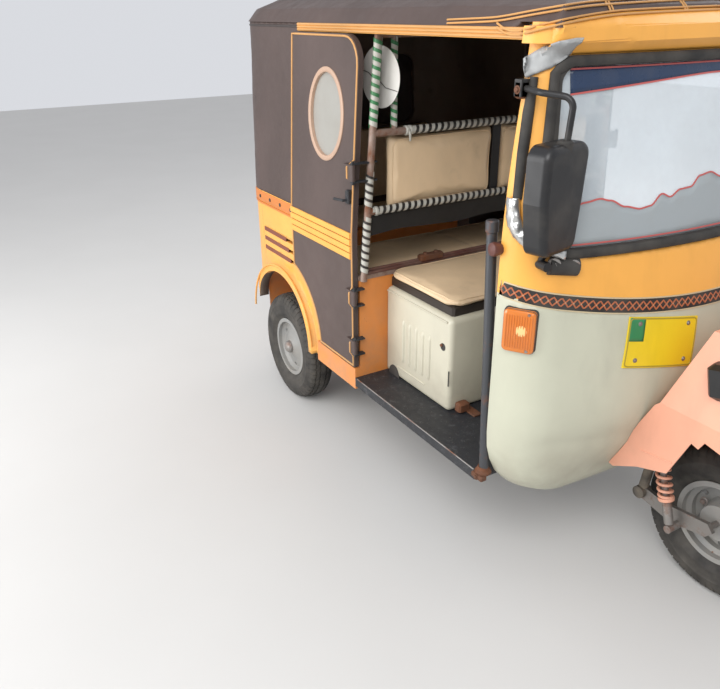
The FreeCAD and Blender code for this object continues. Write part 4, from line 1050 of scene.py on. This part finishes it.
def make_glass_films():
    """Sun strip over the windscreen and a plain tinted film with a wavy edge along its foot."""
    tree = surface("windscreen_glass")

    def strip_at(s, t):
        y = -0.512 + 1.024 * s
        low = 1.553 - 0.070 * math.sqrt(y * y + 0.006)
        return (1.4, y, low + (1.5785 - low) * t)
    patch("sun_strip", tree, strip_at, (-1, 0, 0), 60, 4, 0.0006, "film_blue", "screen_glass")

    def foot_at(s, t):
        y = -0.552 + 1.104 * s
        past = max(abs(y) - 0.498, 0)
        low = 1.1430 + 0.076 - math.sqrt(max(0.076 ** 2 - past ** 2, 0))
        return (1.4, y, low + (along_table(WAVE, y) - low) * t)
    patch("foot_film", tree, foot_at, (-1, 0, 0), 120, 5, 0.0006, "film_grey", "screen_glass")
    lines = Lump()
    thin = [(-0.0022, 0.0006), (-0.0022, 0.0018), (0.0022, 0.0018), (0.0022, 0.0006)]
    for edge_at, count, t, lift in ((foot_at, 160, 1.0, 0.001), (foot_at, 160, 0.0, 0.006),
                                    (strip_at, 80, 0.0, 0.0), (strip_at, 80, 1.0, -0.004)):
        edge = [Vector(edge_at(i / count, t)) + Vector((0, 0, lift)) for i in range(count + 1)]
        bead(lines, tree, edge, (-1, 0, 0), thin)
    lines.make("film_lines", "film_red", "screen_glass")


# Edges of the silver tape round the seal's lower corner, outer and inner
TAPE = [
    ((0.6068, -0.6297, 1.27), (0.6424, -0.6215, 1.273)), ((0.61, -0.6319, 1.2221), (0.65, -0.62, 1.235)),
    ((0.62, -0.6315, 1.196), (0.6599, -0.6171, 1.2049)),
    ((0.6358, -0.6295, 1.1745), (0.673, -0.6085, 1.186)),
    ((0.6688, -0.6154, 1.1484), (0.686, -0.5995, 1.1689)),
    ((0.7058, -0.5792, 1.1333), (0.7112, -0.5766, 1.153)), ((0.73, -0.533, 1.12), (0.733, -0.533, 1.144))
]
# Edges of the torn sheet over the upper corner, upper and lower, from the rear
SHEET = [
    ((0.605, -0.612, 1.6), (0.6156, -0.609, 1.556)), ((0.625, -0.606, 1.612), (0.633, -0.596, 1.566)),
    ((0.6421, -0.5845, 1.6276), (0.6573, -0.568, 1.58)), ((0.658, -0.575, 1.633), (0.662, -0.54, 1.595)),
    ((0.675, -0.5685, 1.6392), (0.6623, -0.5186, 1.6066)),
    ((0.6856, -0.528, 1.6453), (0.6622, -0.5014, 1.6238)),
    ((0.686, -0.5028, 1.6453), (0.672, -0.495, 1.633))
]


def between_edges(tree, edges, across, along, bulge, crumple, centre):
    """Rings over a sheet given by pairs of edge places, bulging away from a centre line."""
    rings = []
    spans = len(edges) - 1
    for i in range(spans * along + 1):
        k = min(i // along, spans - 1)
        t = i / along - k
        a = Vector(edges[k][0]).lerp(Vector(edges[k + 1][0]), t)
        b = Vector(edges[k][1]).lerp(Vector(edges[k + 1][1]), t)
        out = Vector((a.x - centre[0], a.y - centre[1], (a.z - centre[2]) * 0.3)).normalized()
        ring = []
        for j in range(across + 1):
            s = j / across
            p = as_seen(tree, a.lerp(b, s))
            crumpled = crumple * (noise.noise(p * 55) + 0.4 * rng.random() + 0.6)
            ring.append(p + out * (bulge * math.sin(math.pi * s) ** 0.7 + crumpled + 0.003))
        rings.append(ring)
    return rings


def make_screen_repairs():
    """Silver tape on the seal's lower corner and a torn grey sheet over its upper corner."""
    tree = surface("cowl_upper", "windscreen_seal", "windscreen_glass", "roof_gutter",
                   others=[bpy.data.objects["brow"].data])
    tape = between_edges(tree, TAPE, 10, 8, 0.010, 0.0055, (0.45, -0.30, 1.25))
    torn = between_edges(tree, SHEET, 8, 7, 0.003, 0.0050, (0.45, -0.30, 1.60))
    sheet("seal_tape", tape, "silver_tape", "seal_rubber")
    sheet("torn_sheet", torn, "grey_sheet", "seal_rubber")
    clamp = Lump()
    clamp.block((0.602, -0.634, 1.510), (0.628, -0.606, 1.552))
    clamp.bolt((0.615, -0.634, 1.531), (0, -1, 0), 0.007, 0.006)
    clamp.both_sides().make("mirror_feet", "rusty_steel", "black_plastic")


# Roof front

BEAD_LOW = [
    (0.4625, -0.5796, 1.6713), (0.5015, -0.5875, 1.6581), (0.5278, -0.5875, 1.654), (0.57, -0.598, 1.655),
    (0.608, -0.6165, 1.6605), (0.6508, -0.5966, 1.6715), (0.6751, -0.5434, 1.6834),
    (0.6695, -0.405, 1.6966), (0.6676, -0.2976, 1.6999), (0.6658, -0.1451, 1.7029), (0.665, 0.0, 1.705)
]
BEAD_TOP = [
    (0.25, -0.576, 1.678), (0.3929, -0.5716, 1.6823), (0.461, -0.5697, 1.685), (0.5578, -0.5599, 1.6985),
    (0.6487, -0.5525, 1.7089), (0.6538, -0.478, 1.7168), (0.6472, -0.387, 1.7207), (0.64, -0.2, 1.727),
    (0.636, 0.0, 1.731)
]


def both_ways(points):
    """A line from the right side to the middle, carried on to the left side."""
    return list(points) + mirror_y(reversed(points[:-1]))


def smooth_line(points, rounds=3):
    """Rounds a line off by cutting its corners."""
    pts = [Vector(p) for p in points]
    for _ in range(rounds):
        cut = [pts[0]]
        for a, b in zip(pts, pts[1:]):
            cut += [a.lerp(b, 0.25), a.lerp(b, 0.75)]
        pts = cut + [pts[-1]]
    return pts


def as_seen(tree, p, far=0.06):
    """The place on a surface that the camera sees at a point, or the point where that is far off."""
    hit = tree.ray_cast(CAMERA_AT, p - CAMERA_AT)[0]
    return hit if hit is not None and (hit - p).length < far else p


def seated(path, tree, lift):
    """Brings a line in front of the surface it lies on, as the camera sees it, and evens it out."""
    near = [as_seen(tree, p) for p in path]
    seen = [p + (CAMERA_AT - p).normalized() * lift for p in near]
    for _ in range(4):
        seen[1:-1] = [(a + b * 2 + c) / 4 for a, b, c in zip(seen, seen[1:], seen[2:])]
    return seen


def make_roof_front():
    """Yellow brow over the windscreen and the piping of the roof's front."""
    under = ("cowl_upper", "roof_gutter", "roof_canopy")
    tree = surface(*under)
    low = smooth_line(both_ways(BEAD_LOW[4:]))
    brow_foot, brow_half, columns, levels = 1.6085, 0.585, 70, 14

    def brow_z(y, j):
        top = min(low, key=lambda p: abs(p.y - y)).z
        return brow_foot + (top - brow_foot) * j / levels
    rings = []
    for i in range(columns + 1):
        y = -brow_half + 2 * brow_half * i / columns
        column = []
        for j in range(levels + 1):
            hit = tree.ray_cast(Vector((1.5, y, brow_z(y, j))), Vector((-1, 0, 0)))[0]
            column.append(hit.x if hit is not None and hit.x > 0.6 else column[-1] if column else 0.63)
        held = list(column)
        for _ in range(60):
            for j in range(1, levels):
                column[j] = max(held[j], (column[j - 1] + column[j + 1]) / 2)
        rings.append([(x + 0.0012, y, brow_z(y, j)) for j, x in enumerate(column)])
    brow = sheet("brow", rings, "yellow_paint", "yellow_paint")
    tree = surface(*under, others=[brow.data])
    beads = Lump()
    for points in (BEAD_LOW, BEAD_TOP):
        for gap in (-0.0045, 0.0045):
            half = seated([p + Vector((0, 0, gap)) for p in smooth_line(points)], tree, 0.006)
            beads.tube(both_ways(half), 0.0027, 8)
    for y in (-0.405, -0.395, -0.130, -0.120, 0.120, 0.130, 0.395, 0.405):
        top, foot = Vector((0.649, y, 1.7215)), Vector((0.6705, y, 1.6985))
        beads.tube([top, top.lerp(foot, 0.5) + Vector((0.002, 0, 0.001)), foot], 0.0024, 8)
    beads.make("roof_piping", "piping_orange", "dark_vinyl")


# Cabin and driver's place

def make_seat_box():
    """Pressed seat box with its ribs, a riser painted near black as painted shade in the gap under the
    cushion, a slot and holes drawn as flat dark patches of painted shade, and a rusty bracket.
    """
    obj = from_bmesh("seat_box", rounded_box((-0.1747, -0.500, 0.4024), (0.235, 0.500, 0.7585), 0.020))
    obj.data.materials.append(M["box_paint"])
    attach(obj, "root")
    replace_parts(obj, "driver_seat_box")
    # The riser is near black: painted shade of the recessed gap under the driver's cushion.
    riser = Lump().block((-0.1747, -0.478, 0.752), (0.213, 0.478, 0.797))
    riser.make("seat_riser", "dark_paint", "white_paint")
    ribs, dark, rusty = Lump(), Lump(), Lump()
    face = -0.500
    for k in range(5):
        x = -0.052 + 0.0415 * k
        rings = []
        for z, full in ((0.482, 0.2), (0.490, 0.8), (0.500, 1.0), (0.640, 1.0), (0.650, 0.8), (0.658, 0.2)):
            half, high = 0.0105 * (0.45 + 0.55 * full), 0.0065 * full
            across = [(-half, -0.0005), (-half * 0.6, high * 0.75), (0, high), (half * 0.6, high * 0.75),
                      (half, -0.0005)]
            rings.append([(x + a, face - out, z) for a, out in across])
        ribs.rings(rings)
    ribs.tube([(-0.090, -0.5002, 0.452), (0.090, -0.5002, 0.452)], 0.003, 8)
    ribs.tube([(-0.160, -0.5002, 0.744), (0.214, -0.5002, 0.744)], 0.0035, 8)
    ribs.both_sides().make("seat_box_ribs", "box_paint", "white_paint")
    # The knob hole, the slot and the arch notch are flat dark patches on the box face: painted shade of the
    # openings.
    dark.turned((0.193, -0.4995, 0.6455), (0, -1, 0), [(0, 0.014), (0.0012, 0.014)], 18)
    dark.block((0.2285, -0.5012, 0.507), (0.2335, -0.4990, 0.566))
    arch = []
    for k in range(13):
        a = math.pi * k / 12
        arch.append((-0.112 + 0.036 * math.cos(a), 0.4034 + 0.044 * math.sin(a)))
    dark.rings([[(x, -0.4996, z) for x, z in arch], [(x, -0.5012, z) for x, z in arch]])
    dark.both_sides().make("seat_box_hole_shade", "gasket", "white_paint")
    rusty.turned((0.186, -0.500, 0.650), (0.25, -1, 0.2), [(0, 0.006), (0.006, 0.005), (0.007, 0.0)], 12)
    rusty.block((0.2345, -0.472, 0.403), (0.268, -0.424, 0.441))
    rusty.block((0.2345, -0.440, 0.403), (0.310, -0.405, 0.409))
    rusty.both_sides().make("seat_brackets", "rusty_steel", "white_paint")


def make_floor_wear():
    """Worn bright edges of the floor, foot brackets of the guard rods and their caps."""
    edges, feet, caps = Lump(), Lump(), Lump()
    edges.tube([(-0.160, -0.6395, 0.4015), (0.100, -0.6398, 0.4010), (0.555, -0.6395, 0.4015)], 0.0022, 8)
    base = [(0, 0.026), (0.006, 0.026), (0.010, 0.020), (0.022, 0.0175)]
    feet.turned((0.5805, -0.624, 0.4025), (0, 0, 1), base, 16)
    feet.block((0.556, -0.652, 0.384), (0.606, -0.628, 0.402))
    feet.bolt((0.581, -0.652, 0.394), (0, -1, 0), 0.007, 0.006)
    top = Vector((0.546, -0.624, 1.190))
    rake = Vector((-0.038, 0, 0.787)).normalized()
    cap = [(0, 0.0155), (0.002, 0.0185), (0.030, 0.0185), (0.0335, 0.016), (0.034, 0)]
    caps.turned(top - rake * 0.030, rake, cap, 20)
    edges.both_sides().make("floor_edges", "nut_steel", "black_metal")
    feet.both_sides().make("rod_feet", "rusty_steel", "grey_steel")
    caps.both_sides().make("rod_caps", "rod_steel", "grey_steel")


def make_cabin():
    """Near-black sheets of painted shade behind the louvres and hung behind the driver, with the latch rail,
    disc, strap and the cowl's knobs.
    """
    lining, shade_sheet, rail, latch, strap, disc, crack = Lump(), Lump(), Lump(), Lump(), Lump(), Lump(), Lump()
    # Near-black sheets just inside the walls behind the louvre slots: painted shade seen through the slots.
    for side in (-1, 1):
        lining.block((-1.030, side * 0.5895 - 0.0015, 0.640), (-0.700, side * 0.5895 + 0.0015, 0.845))
    lining.make("louvre_shade_sheets", "cabin_dark", "dark_vinyl")
    # A near-black sheet hung under the partition's lower rail: painted shade of the dark space behind the
    # partition.
    columns = 40
    rings = []
    for i in range(columns + 1):
        y = -0.575 + 1.150 * i / columns
        x = -0.168 + 0.004 * math.sin(9 * y) + 0.003 * math.sin(31 * y)
        low = 0.968 + 0.006 * math.sin(13 * y + 1)
        rings.append([(x - 0.003, y, low), (x, y, low), (-0.164, y, 1.046), (-0.167, y, 1.046)])
    shade_sheet.rings(rings)
    shade_sheet.make("partition_shade_sheet", "cabin_dark", "dark_vinyl")
    rail.block((-0.1945, -0.585, 0.8165), (-0.171, 0.585, 0.8275))
    rail.tube([(-0.1885, -0.588, 0.829), (-0.1885, 0.588, 0.829)], 0.0062, 10)
    rail.make("latch_rail_cap", "rail_red", "ribbon_tube")
    latch.block((-0.197, -0.345, 0.822), (-0.167, -0.235, 0.850))
    for y in (-0.315, -0.265):
        latch.turned((-0.182, y, 0.850), (0, 0, 1), [(0, 0.009), (0.006, 0.008), (0.007, 0)], 12)
    latch.make("latch_block", "rusty_steel", "ribbon_tube")
    strap.block((-0.1755, -0.0235, 1.045), (-0.1700, 0.0155, 1.325))
    strap.make("partition_strap", "cabin_dark", "dark_vinyl")
    out = Vector((0.14, -0.99, 0)).normalized()
    at = Vector((-0.195, -0.513, 1.502))
    disc.turned(at, out, [(-0.001, 0.094), (-0.001, 0.099), (0.0012, 0.1005), (0.002, 0.099), (0.0012, 0.094),
                          (0.0018, 0.0)], 56)
    disc.make("disc_right", "disc_white", "white_paint")
    across = out.cross(Vector((0, 0, 1)))
    bends = ((0.098, 0.020), (0.060, 0.012), (0.035, -0.004), (0.005, -0.010), (-0.030, -0.032),
             (-0.090, -0.040))
    path = [at + across * a + Vector((0, 0, b)) + out * 0.0026 for a, b in bends]
    crack.tube(path, [0.0012, 0.0016, 0.0010, 0.0016, 0.0012, 0.0010], 6)
    crack.tube([at + Vector((0, 0, 0.02)) + out * 0.002, at + Vector((0.008, -0.020, 0.02)),
                (-0.160, -0.548, 1.500)], 0.003, 8)
    crack.make("disc_crack", "gasket", "white_paint")
    knob = [(0, 0.016), (0.010, 0.017), (0.022, 0.020), (0.030, 0.018), (0.034, 0.010), (0.035, 0)]
    knobs = Lump().turned((0.597, -0.632, 1.128), (-0.12, -1, 0.05), knob, 20)
    knobs.both_sides().make("cowl_knobs", "rail_red", "yellow_paint")


def make_rear_curtain():
    """Dark vinyl curtain over the rear window, with piping round it."""
    tree = surface("hood")

    def at(s, t):
        return (-1.6, -0.425 + 0.85 * s, 1.135 + 0.400 * t)
    patch("rear_curtain", tree, at, (1, 0, 0), 30, 16, 0.003, "curtain_vinyl", "dark_vinyl", wobble=0.0016)
    loop = [at(0, 0)]
    corners = ((0, 0), (1, 0), (1, 1), (0, 1), (0, 0))
    for a, b, count in zip(corners, corners[1:], (30, 16, 30, 16)):
        loop += line(at(*a), at(*b), count)[1:]
    piping = Lump()
    bead(piping, tree, loop, (1, 0, 0), [(-0.005, 0.002), (-0.004, 0.006), (0, 0.0078), (0.004, 0.006),
                                         (0.005, 0.002)])
    piping.make("rear_curtain_piping", "piping_orange", "dark_vinyl")


# Lamps, plate, mirrors

def facing(centre, out):
    """A frame on a flat face: a function from (across, up, out) to a place."""
    out = Vector(out).normalized()
    across = Vector((0, 0, 1)).cross(out).normalized()
    up = out.cross(across)

    def place(a, b, h):
        return Vector(centre) + across * a + up * b + out * h
    return place


def rounded_loop(wide, high, corner, steps=5):
    """A flat rounded rectangle as (across, up) places."""
    loop = []
    for sx, sy, start in ((1, 1, 0), (-1, 1, 90), (-1, -1, 180), (1, -1, 270)):
        cx, cy = sx * (wide / 2 - corner), sy * (high / 2 - corner)
        for k in range(steps + 1):
            a = math.radians(start + 90 * k / steps)
            loop.append((cx + corner * math.cos(a), cy + corner * math.sin(a)))
    return loop


def layered(lump, place, layers, corner):
    """Stacks rounded rectangles of (width, height, out) into one form."""
    lump.rings([[place(a, b, h) for a, b in rounded_loop(w, t, min(corner, w * 0.45))] for w, t, h in layers])


def make_turn_lamps():
    """Ribbed amber lenses on dark gaskets, and on each a lighter dome for the bulb showing through, its
    lightness partly a painted highlight.
    """
    place = facing((0.6857, -0.6283, 0.918), (0.530, -0.848, 0))
    shell, gasket, bulb, screws = Lump(), Lump(), Lump(), Lump()
    layered(shell, place, [(0.0885, 0.1225, -0.0120), (0.0885, 0.1225, -0.0015), (0.085, 0.119, 0.0020),
                           (0.074, 0.108, 0.0048)], 0.012)
    for k in range(11):
        a = -0.0350 + 0.0070 * k
        heights = ((-0.050, 0.0040), (-0.046, 0.0050), (0.046, 0.0050), (0.050, 0.0040))
        shell.tube([place(a, b, h) for b, h in heights], [0.0008, 0.0021, 0.0021, 0.0008], 8)
    layered(gasket, place, [(0.094, 0.128, -0.030), (0.094, 0.128, -0.0150), (0.091, 0.125, -0.0125)], 0.014)
    layered(gasket, place, [(0.0890, 0.1230, -0.0050), (0.0905, 0.1245, -0.0035),
                            (0.0890, 0.1230, -0.0020)], 0.012)
    out = place(0, 0, 1) - place(0, 0, 0)
    # A lighter dome on the lens face stands for the bulb behind it: partly the bulb, partly a painted
    # highlight.
    bulb_dome = [(0, 0.0165), (0.0016, 0.0150), (0.0026, 0.009), (0.003, 0)]
    bulb.turned(place(0.008, 0.004, 0.0044), out, bulb_dome, 24)
    for b in (-0.052, 0.052):
        screws.bolt(place(0.026, b, 0.003), out, 0.0035, 0.002)
    for lump, name, mat in ((shell, "turn_lenses", "amber_lens"), (gasket, "turn_gaskets", "gasket"),
                            (bulb, "turn_bulbs", "bulb_glow"), (screws, "turn_screws", "nut_steel")):
        lump.both_sides().make(name, mat, "amber_lens")


def make_plate():
    """Bare yellow plate with a plain green corner, a raised rim and its bolts."""
    tree = surface("front_plate")
    turn = Matrix.Rotation(math.radians(-8), 3, "X")

    def at(a, b):
        """A place in front of the plate, across and up from its middle."""
        p = turn @ Vector((0, a, b))
        return (1.4, -0.232 + p.y, 0.852 + p.z)

    def corner_at(s, t):
        return at(-0.118 + 0.050 * s, 0.0705 - 0.066 * (1 - t))
    patch("plate_corner", tree, corner_at, (-1, 0, 0), 6, 6, 0.0004, "green_paint", "plate_yellow",
          thick=0.0005)
    rim, bolts = Lump(), Lump()
    fine = stepped([at(a, b) for a, b in rounded_loop(0.232, 0.137, 0.010, 4)], 0.012)
    ridge = [(-0.0022, 0), (-0.0016, 0.0012), (0.0016, 0.0012), (0.0022, 0)]
    bead(rim, tree, fine + fine[:1], (-1, 0, 0), ridge)
    for a in (-0.085, 0.085):
        for b in (-0.050, 0.054):
            for p, n in dropped(tree, [at(a, b)], (-1, 0, 0)):
                bolts.bolt(p, n, 0.0045, 0.0035)
    rim.make("plate_rim", "plate_edge", "plate_yellow")
    bolts.make("plate_bolts", "nut_steel", "plate_yellow")


def make_rear_lamps():
    """Ribs, rims and screws of the rear lamps."""
    ribs, rims = Lump(), Lump()
    for side in (-1, 1):
        y = side * 0.305
        for k in range(7):
            z = 0.575 + 0.0185 * k
            ribs.tube([(-1.3092, y - 0.034, z), (-1.3092, y + 0.034, z)], 0.0022, 6)
        rim = [(-1.288, y - 0.041, 0.559), (-1.288, y + 0.041, 0.559), (-1.288, y + 0.041, 0.701),
               (-1.288, y - 0.041, 0.701)]
        rims.tube(rim, 0.003, 8, closed=True)
        for z in (0.568, 0.692):
            rims.bolt((-1.3088, y, z), (-1, 0, 0), 0.004, 0.003)
    ribs.make("rear_lens_ribs", "red_lens")
    rims.make("rear_lamp_rims", "gasket", "red_lens")


def make_mirror_trim():
    """Clamp bolts, sleeves and glass of the two mirrors."""
    bolts, sleeve, glass = Lump(), Lump(), Lump()
    out = (0.80, -0.60, 0.05)
    washer = [(-0.004, 0.0185), (0.006, 0.0185), (0.008, 0.017), (0.008, 0.0095)]
    for x, y, z in ((0.7210, -0.5600, 1.1075), (0.7400, -0.5080, 1.0990)):
        bolts.turned((x + 0.004, y - 0.004, z), out, washer, 20)
        bolts.bolt((x + 0.009, y - 0.008, z), out, 0.0080, 0.006, washer=False)
    sleeve.tube([(0.716, -0.573, 1.103), (0.744, -0.497, 1.094)], 0.020, 14, flat=0.024)
    mx, my, mz = 0.742, -0.598, 1.285
    collar = [(0, 0.016), (0.004, 0.019), (0.026, 0.019), (0.030, 0.015)]
    sleeve.turned((mx + 0.013, my - 0.002, mz + 0.112), (0, 0, 1), collar, 18)
    turn = math.radians(12)
    place = facing((mx - 0.028, my + 0.002, mz), (-math.cos(turn), -math.sin(turn), 0))
    layered(glass, place, [(0.104, 0.196, -0.004), (0.104, 0.196, 0.0012), (0.100, 0.192, 0.0022)], 0.026)
    bolts.both_sides().make("mirror_bolts", "nut_steel", "black_plastic")
    sleeve.both_sides().make("mirror_sleeves", "gasket", "black_plastic")
    glass.both_sides().make("mirror_glass", "mirror_glass", "black_plastic")


def make_side_rubber():
    """Thick rubber down each side of the windscreen and round the seal."""
    side, ring = Lump(), Lump()
    path = [(0.632, -0.5985, 1.560), (0.631, -0.607, 1.48), (0.632, -0.6150, 1.38), (0.634, -0.6210, 1.268)]
    side.tube(path, [0.010, 0.0145, 0.0150, 0.0140], 12)
    side.both_sides().make("side_rubber", "seal_rubber")
    fine = stepped([(1.5, a, 1.361 + b) for a, b in rounded_loop(1.174, 0.464, 0.084, 8)], 0.02)
    rounded = [(-0.0125, -0.001), (-0.0115, 0.0045), (-0.006, 0.0078), (0, 0.0088),
               (0.006, 0.0078), (0.0115, 0.0045), (0.0125, -0.001)]
    bead(ring, surface("windscreen_seal"), fine + fine[:1], (-1, 0, 0), rounded)
    ring.make("seal_bead", "seal_rubber")


# Vinyl skins

def fine_copy(node, size):
    """A CAD node's surface, divided until no edge is longer than size."""
    bm = bmesh.new()
    bm.from_mesh(frame["nodes"][node].data)
    bmesh.ops.remove_doubles(bm, verts=bm.verts, dist=1e-5)
    bmesh.ops.triangulate(bm, faces=bm.faces)
    for _ in range(9):
        long_edges = [e for e in bm.edges if e.calc_length() > size]
        if not long_edges:
            break
        bmesh.ops.subdivide_edges(bm, edges=long_edges, cuts=1)
        bmesh.ops.triangulate(bm, faces=[f for f in bm.faces if len(f.verts) > 3])
    return bm


def slack(p):
    """How far the vinyl stands out at a place: sags, folds and small puckers."""
    wave = noise.fractal(Vector((p.x * 2.1, p.y * 2.1, p.z * 1.6)), 1.0, 2.0, 3)
    fold = noise.noise(Vector((p.x * 3.0 + 7, p.y * 3.0, p.z * 9.0)))
    pucker = noise.noise(Vector((p.x * 22, p.y * 22, p.z * 30)))
    return 0.0030 * wave + 0.0024 * fold + 0.0009 * pucker


def make_skin(node, name, centre, keep, size=0.022):
    """Wrinkled vinyl in the form of a CAD node, drawn flat where keep says so, lined brown inside."""
    def outward(p):
        return p - Vector((p.x if centre[0] is None else centre[0], centre[1], centre[2]))
    bm = fine_copy(node, size)
    for v in bm.verts:
        v.co += outward(v.co).normalized() * slack(v.co) * keep(v.co)
    bm.normal_update()
    for f in bm.faces:
        f.material_index = 1 if f.normal.dot(outward(f.calc_center_median())) < 0 else 0
    finish_skin(bm, node, name, ("dark_vinyl", "cabin_lining"))


def finish_skin(bm, node, name, mats):
    """Turns a divided copy into the piece that stands for its node."""
    obj = from_bmesh(name, bm, 38)
    for mat in mats:
        obj.data.materials.append(M[mat])
    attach(obj, "root")
    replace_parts(obj, node)


def make_panel(node, name, mat, inner=None, dents=0.0009):
    """Sheet metal in the form of a CAD node, slightly dented and shaded without creases."""
    bm = fine_copy(node, 0.034)
    for v in bm.verts:
        out = Vector((v.co.x, v.co.y, 0)).normalized()
        soft = noise.noise(v.co * 5.5) + 0.5 * noise.noise(v.co * 13 + Vector((3, 1, 0)))
        v.co += out * dents * soft
    bm.normal_update()
    if inner:
        for f in bm.faces:
            middle = f.calc_center_median()
            flat = Vector((middle.x + 0.75, middle.y, 0))
            f.material_index = 1 if f.normal.dot(flat) < -0.2 * flat.length else 0
    finish_skin(bm, node, name, (mat, inner) if inner else (mat,))


def make_vinyl():
    """Wrinkled skins of the hood and the roof."""
    def near_door(p):
        return min(max((-0.672 - p.x) / 0.10, 0), 1)

    def on_roof(p):
        return 1.0 if p.z > 1.70 else max((p.z - 1.672) / 0.028, 0) * 0.8 + 0.05
    make_skin("hood", "hood_vinyl", (-0.70, 0, 1.30), near_door)
    make_skin("roof_canopy", "roof_vinyl", (None, 0, 0.2), on_roof, 0.032)


def make_panels():
    """Cowl and rear body in dented sheet metal."""
    make_panel("cowl_lower", "cowl_cream", "cream_paint")
    make_panel("cowl_upper", "cowl_yellow", "yellow_paint", dents=0.0006)
    for node, name, dents in (("tub_right", "side_right", 0.0005), ("tub_left", "side_left", 0.0005),
                              ("tub_rear", "rear_panel", 0.0007)):
        make_panel(node, name, "yellow_paint", "cabin_lining", dents)


def make_louvre_strips():
    """Dark red strips over the louvres as painted shade of their recesses, black shrouds beside the headlamp
    and folds of the fender.
    """
    strips, shroud, fold = Lump(), Lump(), Lump()
    wall, half_thick, half_high = 0.6165, 0.0012, 0.0095
    # Flat dark red strips laid on the wall widen the louvres' look: painted shade of their recesses.
    for z, x1 in ((0.799, -0.800), (0.755, -0.778), (0.711, -0.760)):
        for side in (-1, 1):
            y = side * wall
            strips.block((-1.030, y - half_thick, z - half_high), (x1, y + half_thick, z + half_high))
    strips.make("louvre_strips", "louvre_red", "yellow_paint")
    shroud.block((1.010, -0.262, 0.772), (1.130, -0.190, 0.872), Matrix.Rotation(math.radians(-14), 3, "Y"))
    shroud.both_sides().make("headlamp_shrouds", "black_plastic")
    fold.tube([(0.8535, -0.2565, 0.5067), (0.9619, -0.2565, 0.5229)], 0.0022, 8)
    fold.both_sides().make("fender_folds", "salmon_paint")


make_panels()
make_ribbons()
make_ornament()
make_glass_films()
make_roof_front()
make_screen_repairs()
make_vinyl()
for wheel_name, wheel_body, wheel_at in WHEELS:
    make_tyre(wheel_name, wheel_body, wheel_at)
    make_wheel_fittings(wheel_name, wheel_body, wheel_at)
make_springs()
make_soft_goods()
make_door_trim()
make_body_trim()
make_louvre_strips()
make_seat_box()
make_floor_wear()
make_cabin()
make_rear_curtain()
make_turn_lamps()
make_plate()
make_rear_lamps()
make_mirror_trim()
make_side_rubber()


# Stage, light and camera

def add_area(name, at, size, power, towards=(0, 0, 0.7)):
    """A square light that faces a place."""
    light = bpy.data.lights.new(name, "AREA")
    light.size = size
    light.energy = power
    lamp = link(bpy.data.objects.new(name, light))
    lamp.location = at
    lamp.rotation_euler = (Vector(towards) - Vector(at)).to_track_quat("-Z", "Y").to_euler()


def make_stage():
    """Floor, sky light and three area lights."""
    mesh = bpy.data.meshes.new("floor")
    half = 14
    corners = [(x * half, y * half, 0) for x, y in ((-1, -1), (1, -1), (1, 1), (-1, 1))]
    mesh.from_pydata(corners, [], [(0, 1, 2, 3)])
    floor = link(bpy.data.objects.new("floor", mesh))
    n = Nodes("floor")
    mesh.materials.append(n.finish(n.mix(n.noise(1.5, 3), (0.60, 0.59, 0.57), (0.64, 0.63, 0.61)), 0.9))
    world = bpy.data.worlds.new("world")
    bpy.context.scene.world = world
    world.use_nodes = True
    background = world.node_tree.nodes["Background"]
    background.inputs["Color"].default_value = (0.93, 0.95, 1.0, 1)
    background.inputs["Strength"].default_value = 0.75
    add_area("key", (3.2, -3.8, 4.6), 3.5, 210)
    add_area("fill", (-1.2, -4.4, 1.7), 3.0, 130, (-0.5, 0, 0.9))
    add_area("back", (-1.5, 4.0, 4.2), 4.0, 90)


def make_camera():
    """The photograph's camera."""
    data = bpy.data.cameras.new("camera")
    data.sensor_fit = "HORIZONTAL"
    data.sensor_width = SENSOR
    data.lens = FOCAL_PX / PHOTO_WIDE * SENSOR
    camera = link(bpy.data.objects.new("camera", data))
    right = VIEW_DIR.cross(Vector((0, 0, 1))).normalized()
    up = right.cross(VIEW_DIR).normalized()
    turned = right * math.cos(CAMERA_ROLL) + up * math.sin(CAMERA_ROLL)
    upright = up * math.cos(CAMERA_ROLL) - right * math.sin(CAMERA_ROLL)
    axes = Matrix((turned, upright, -VIEW_DIR.normalized())).transposed()
    camera.matrix_world = Matrix.Translation(CAMERA_AT) @ axes.to_4x4()
    bpy.context.scene.camera = camera


make_stage()
make_camera()
bpy.context.scene.view_settings.view_transform = "Standard"
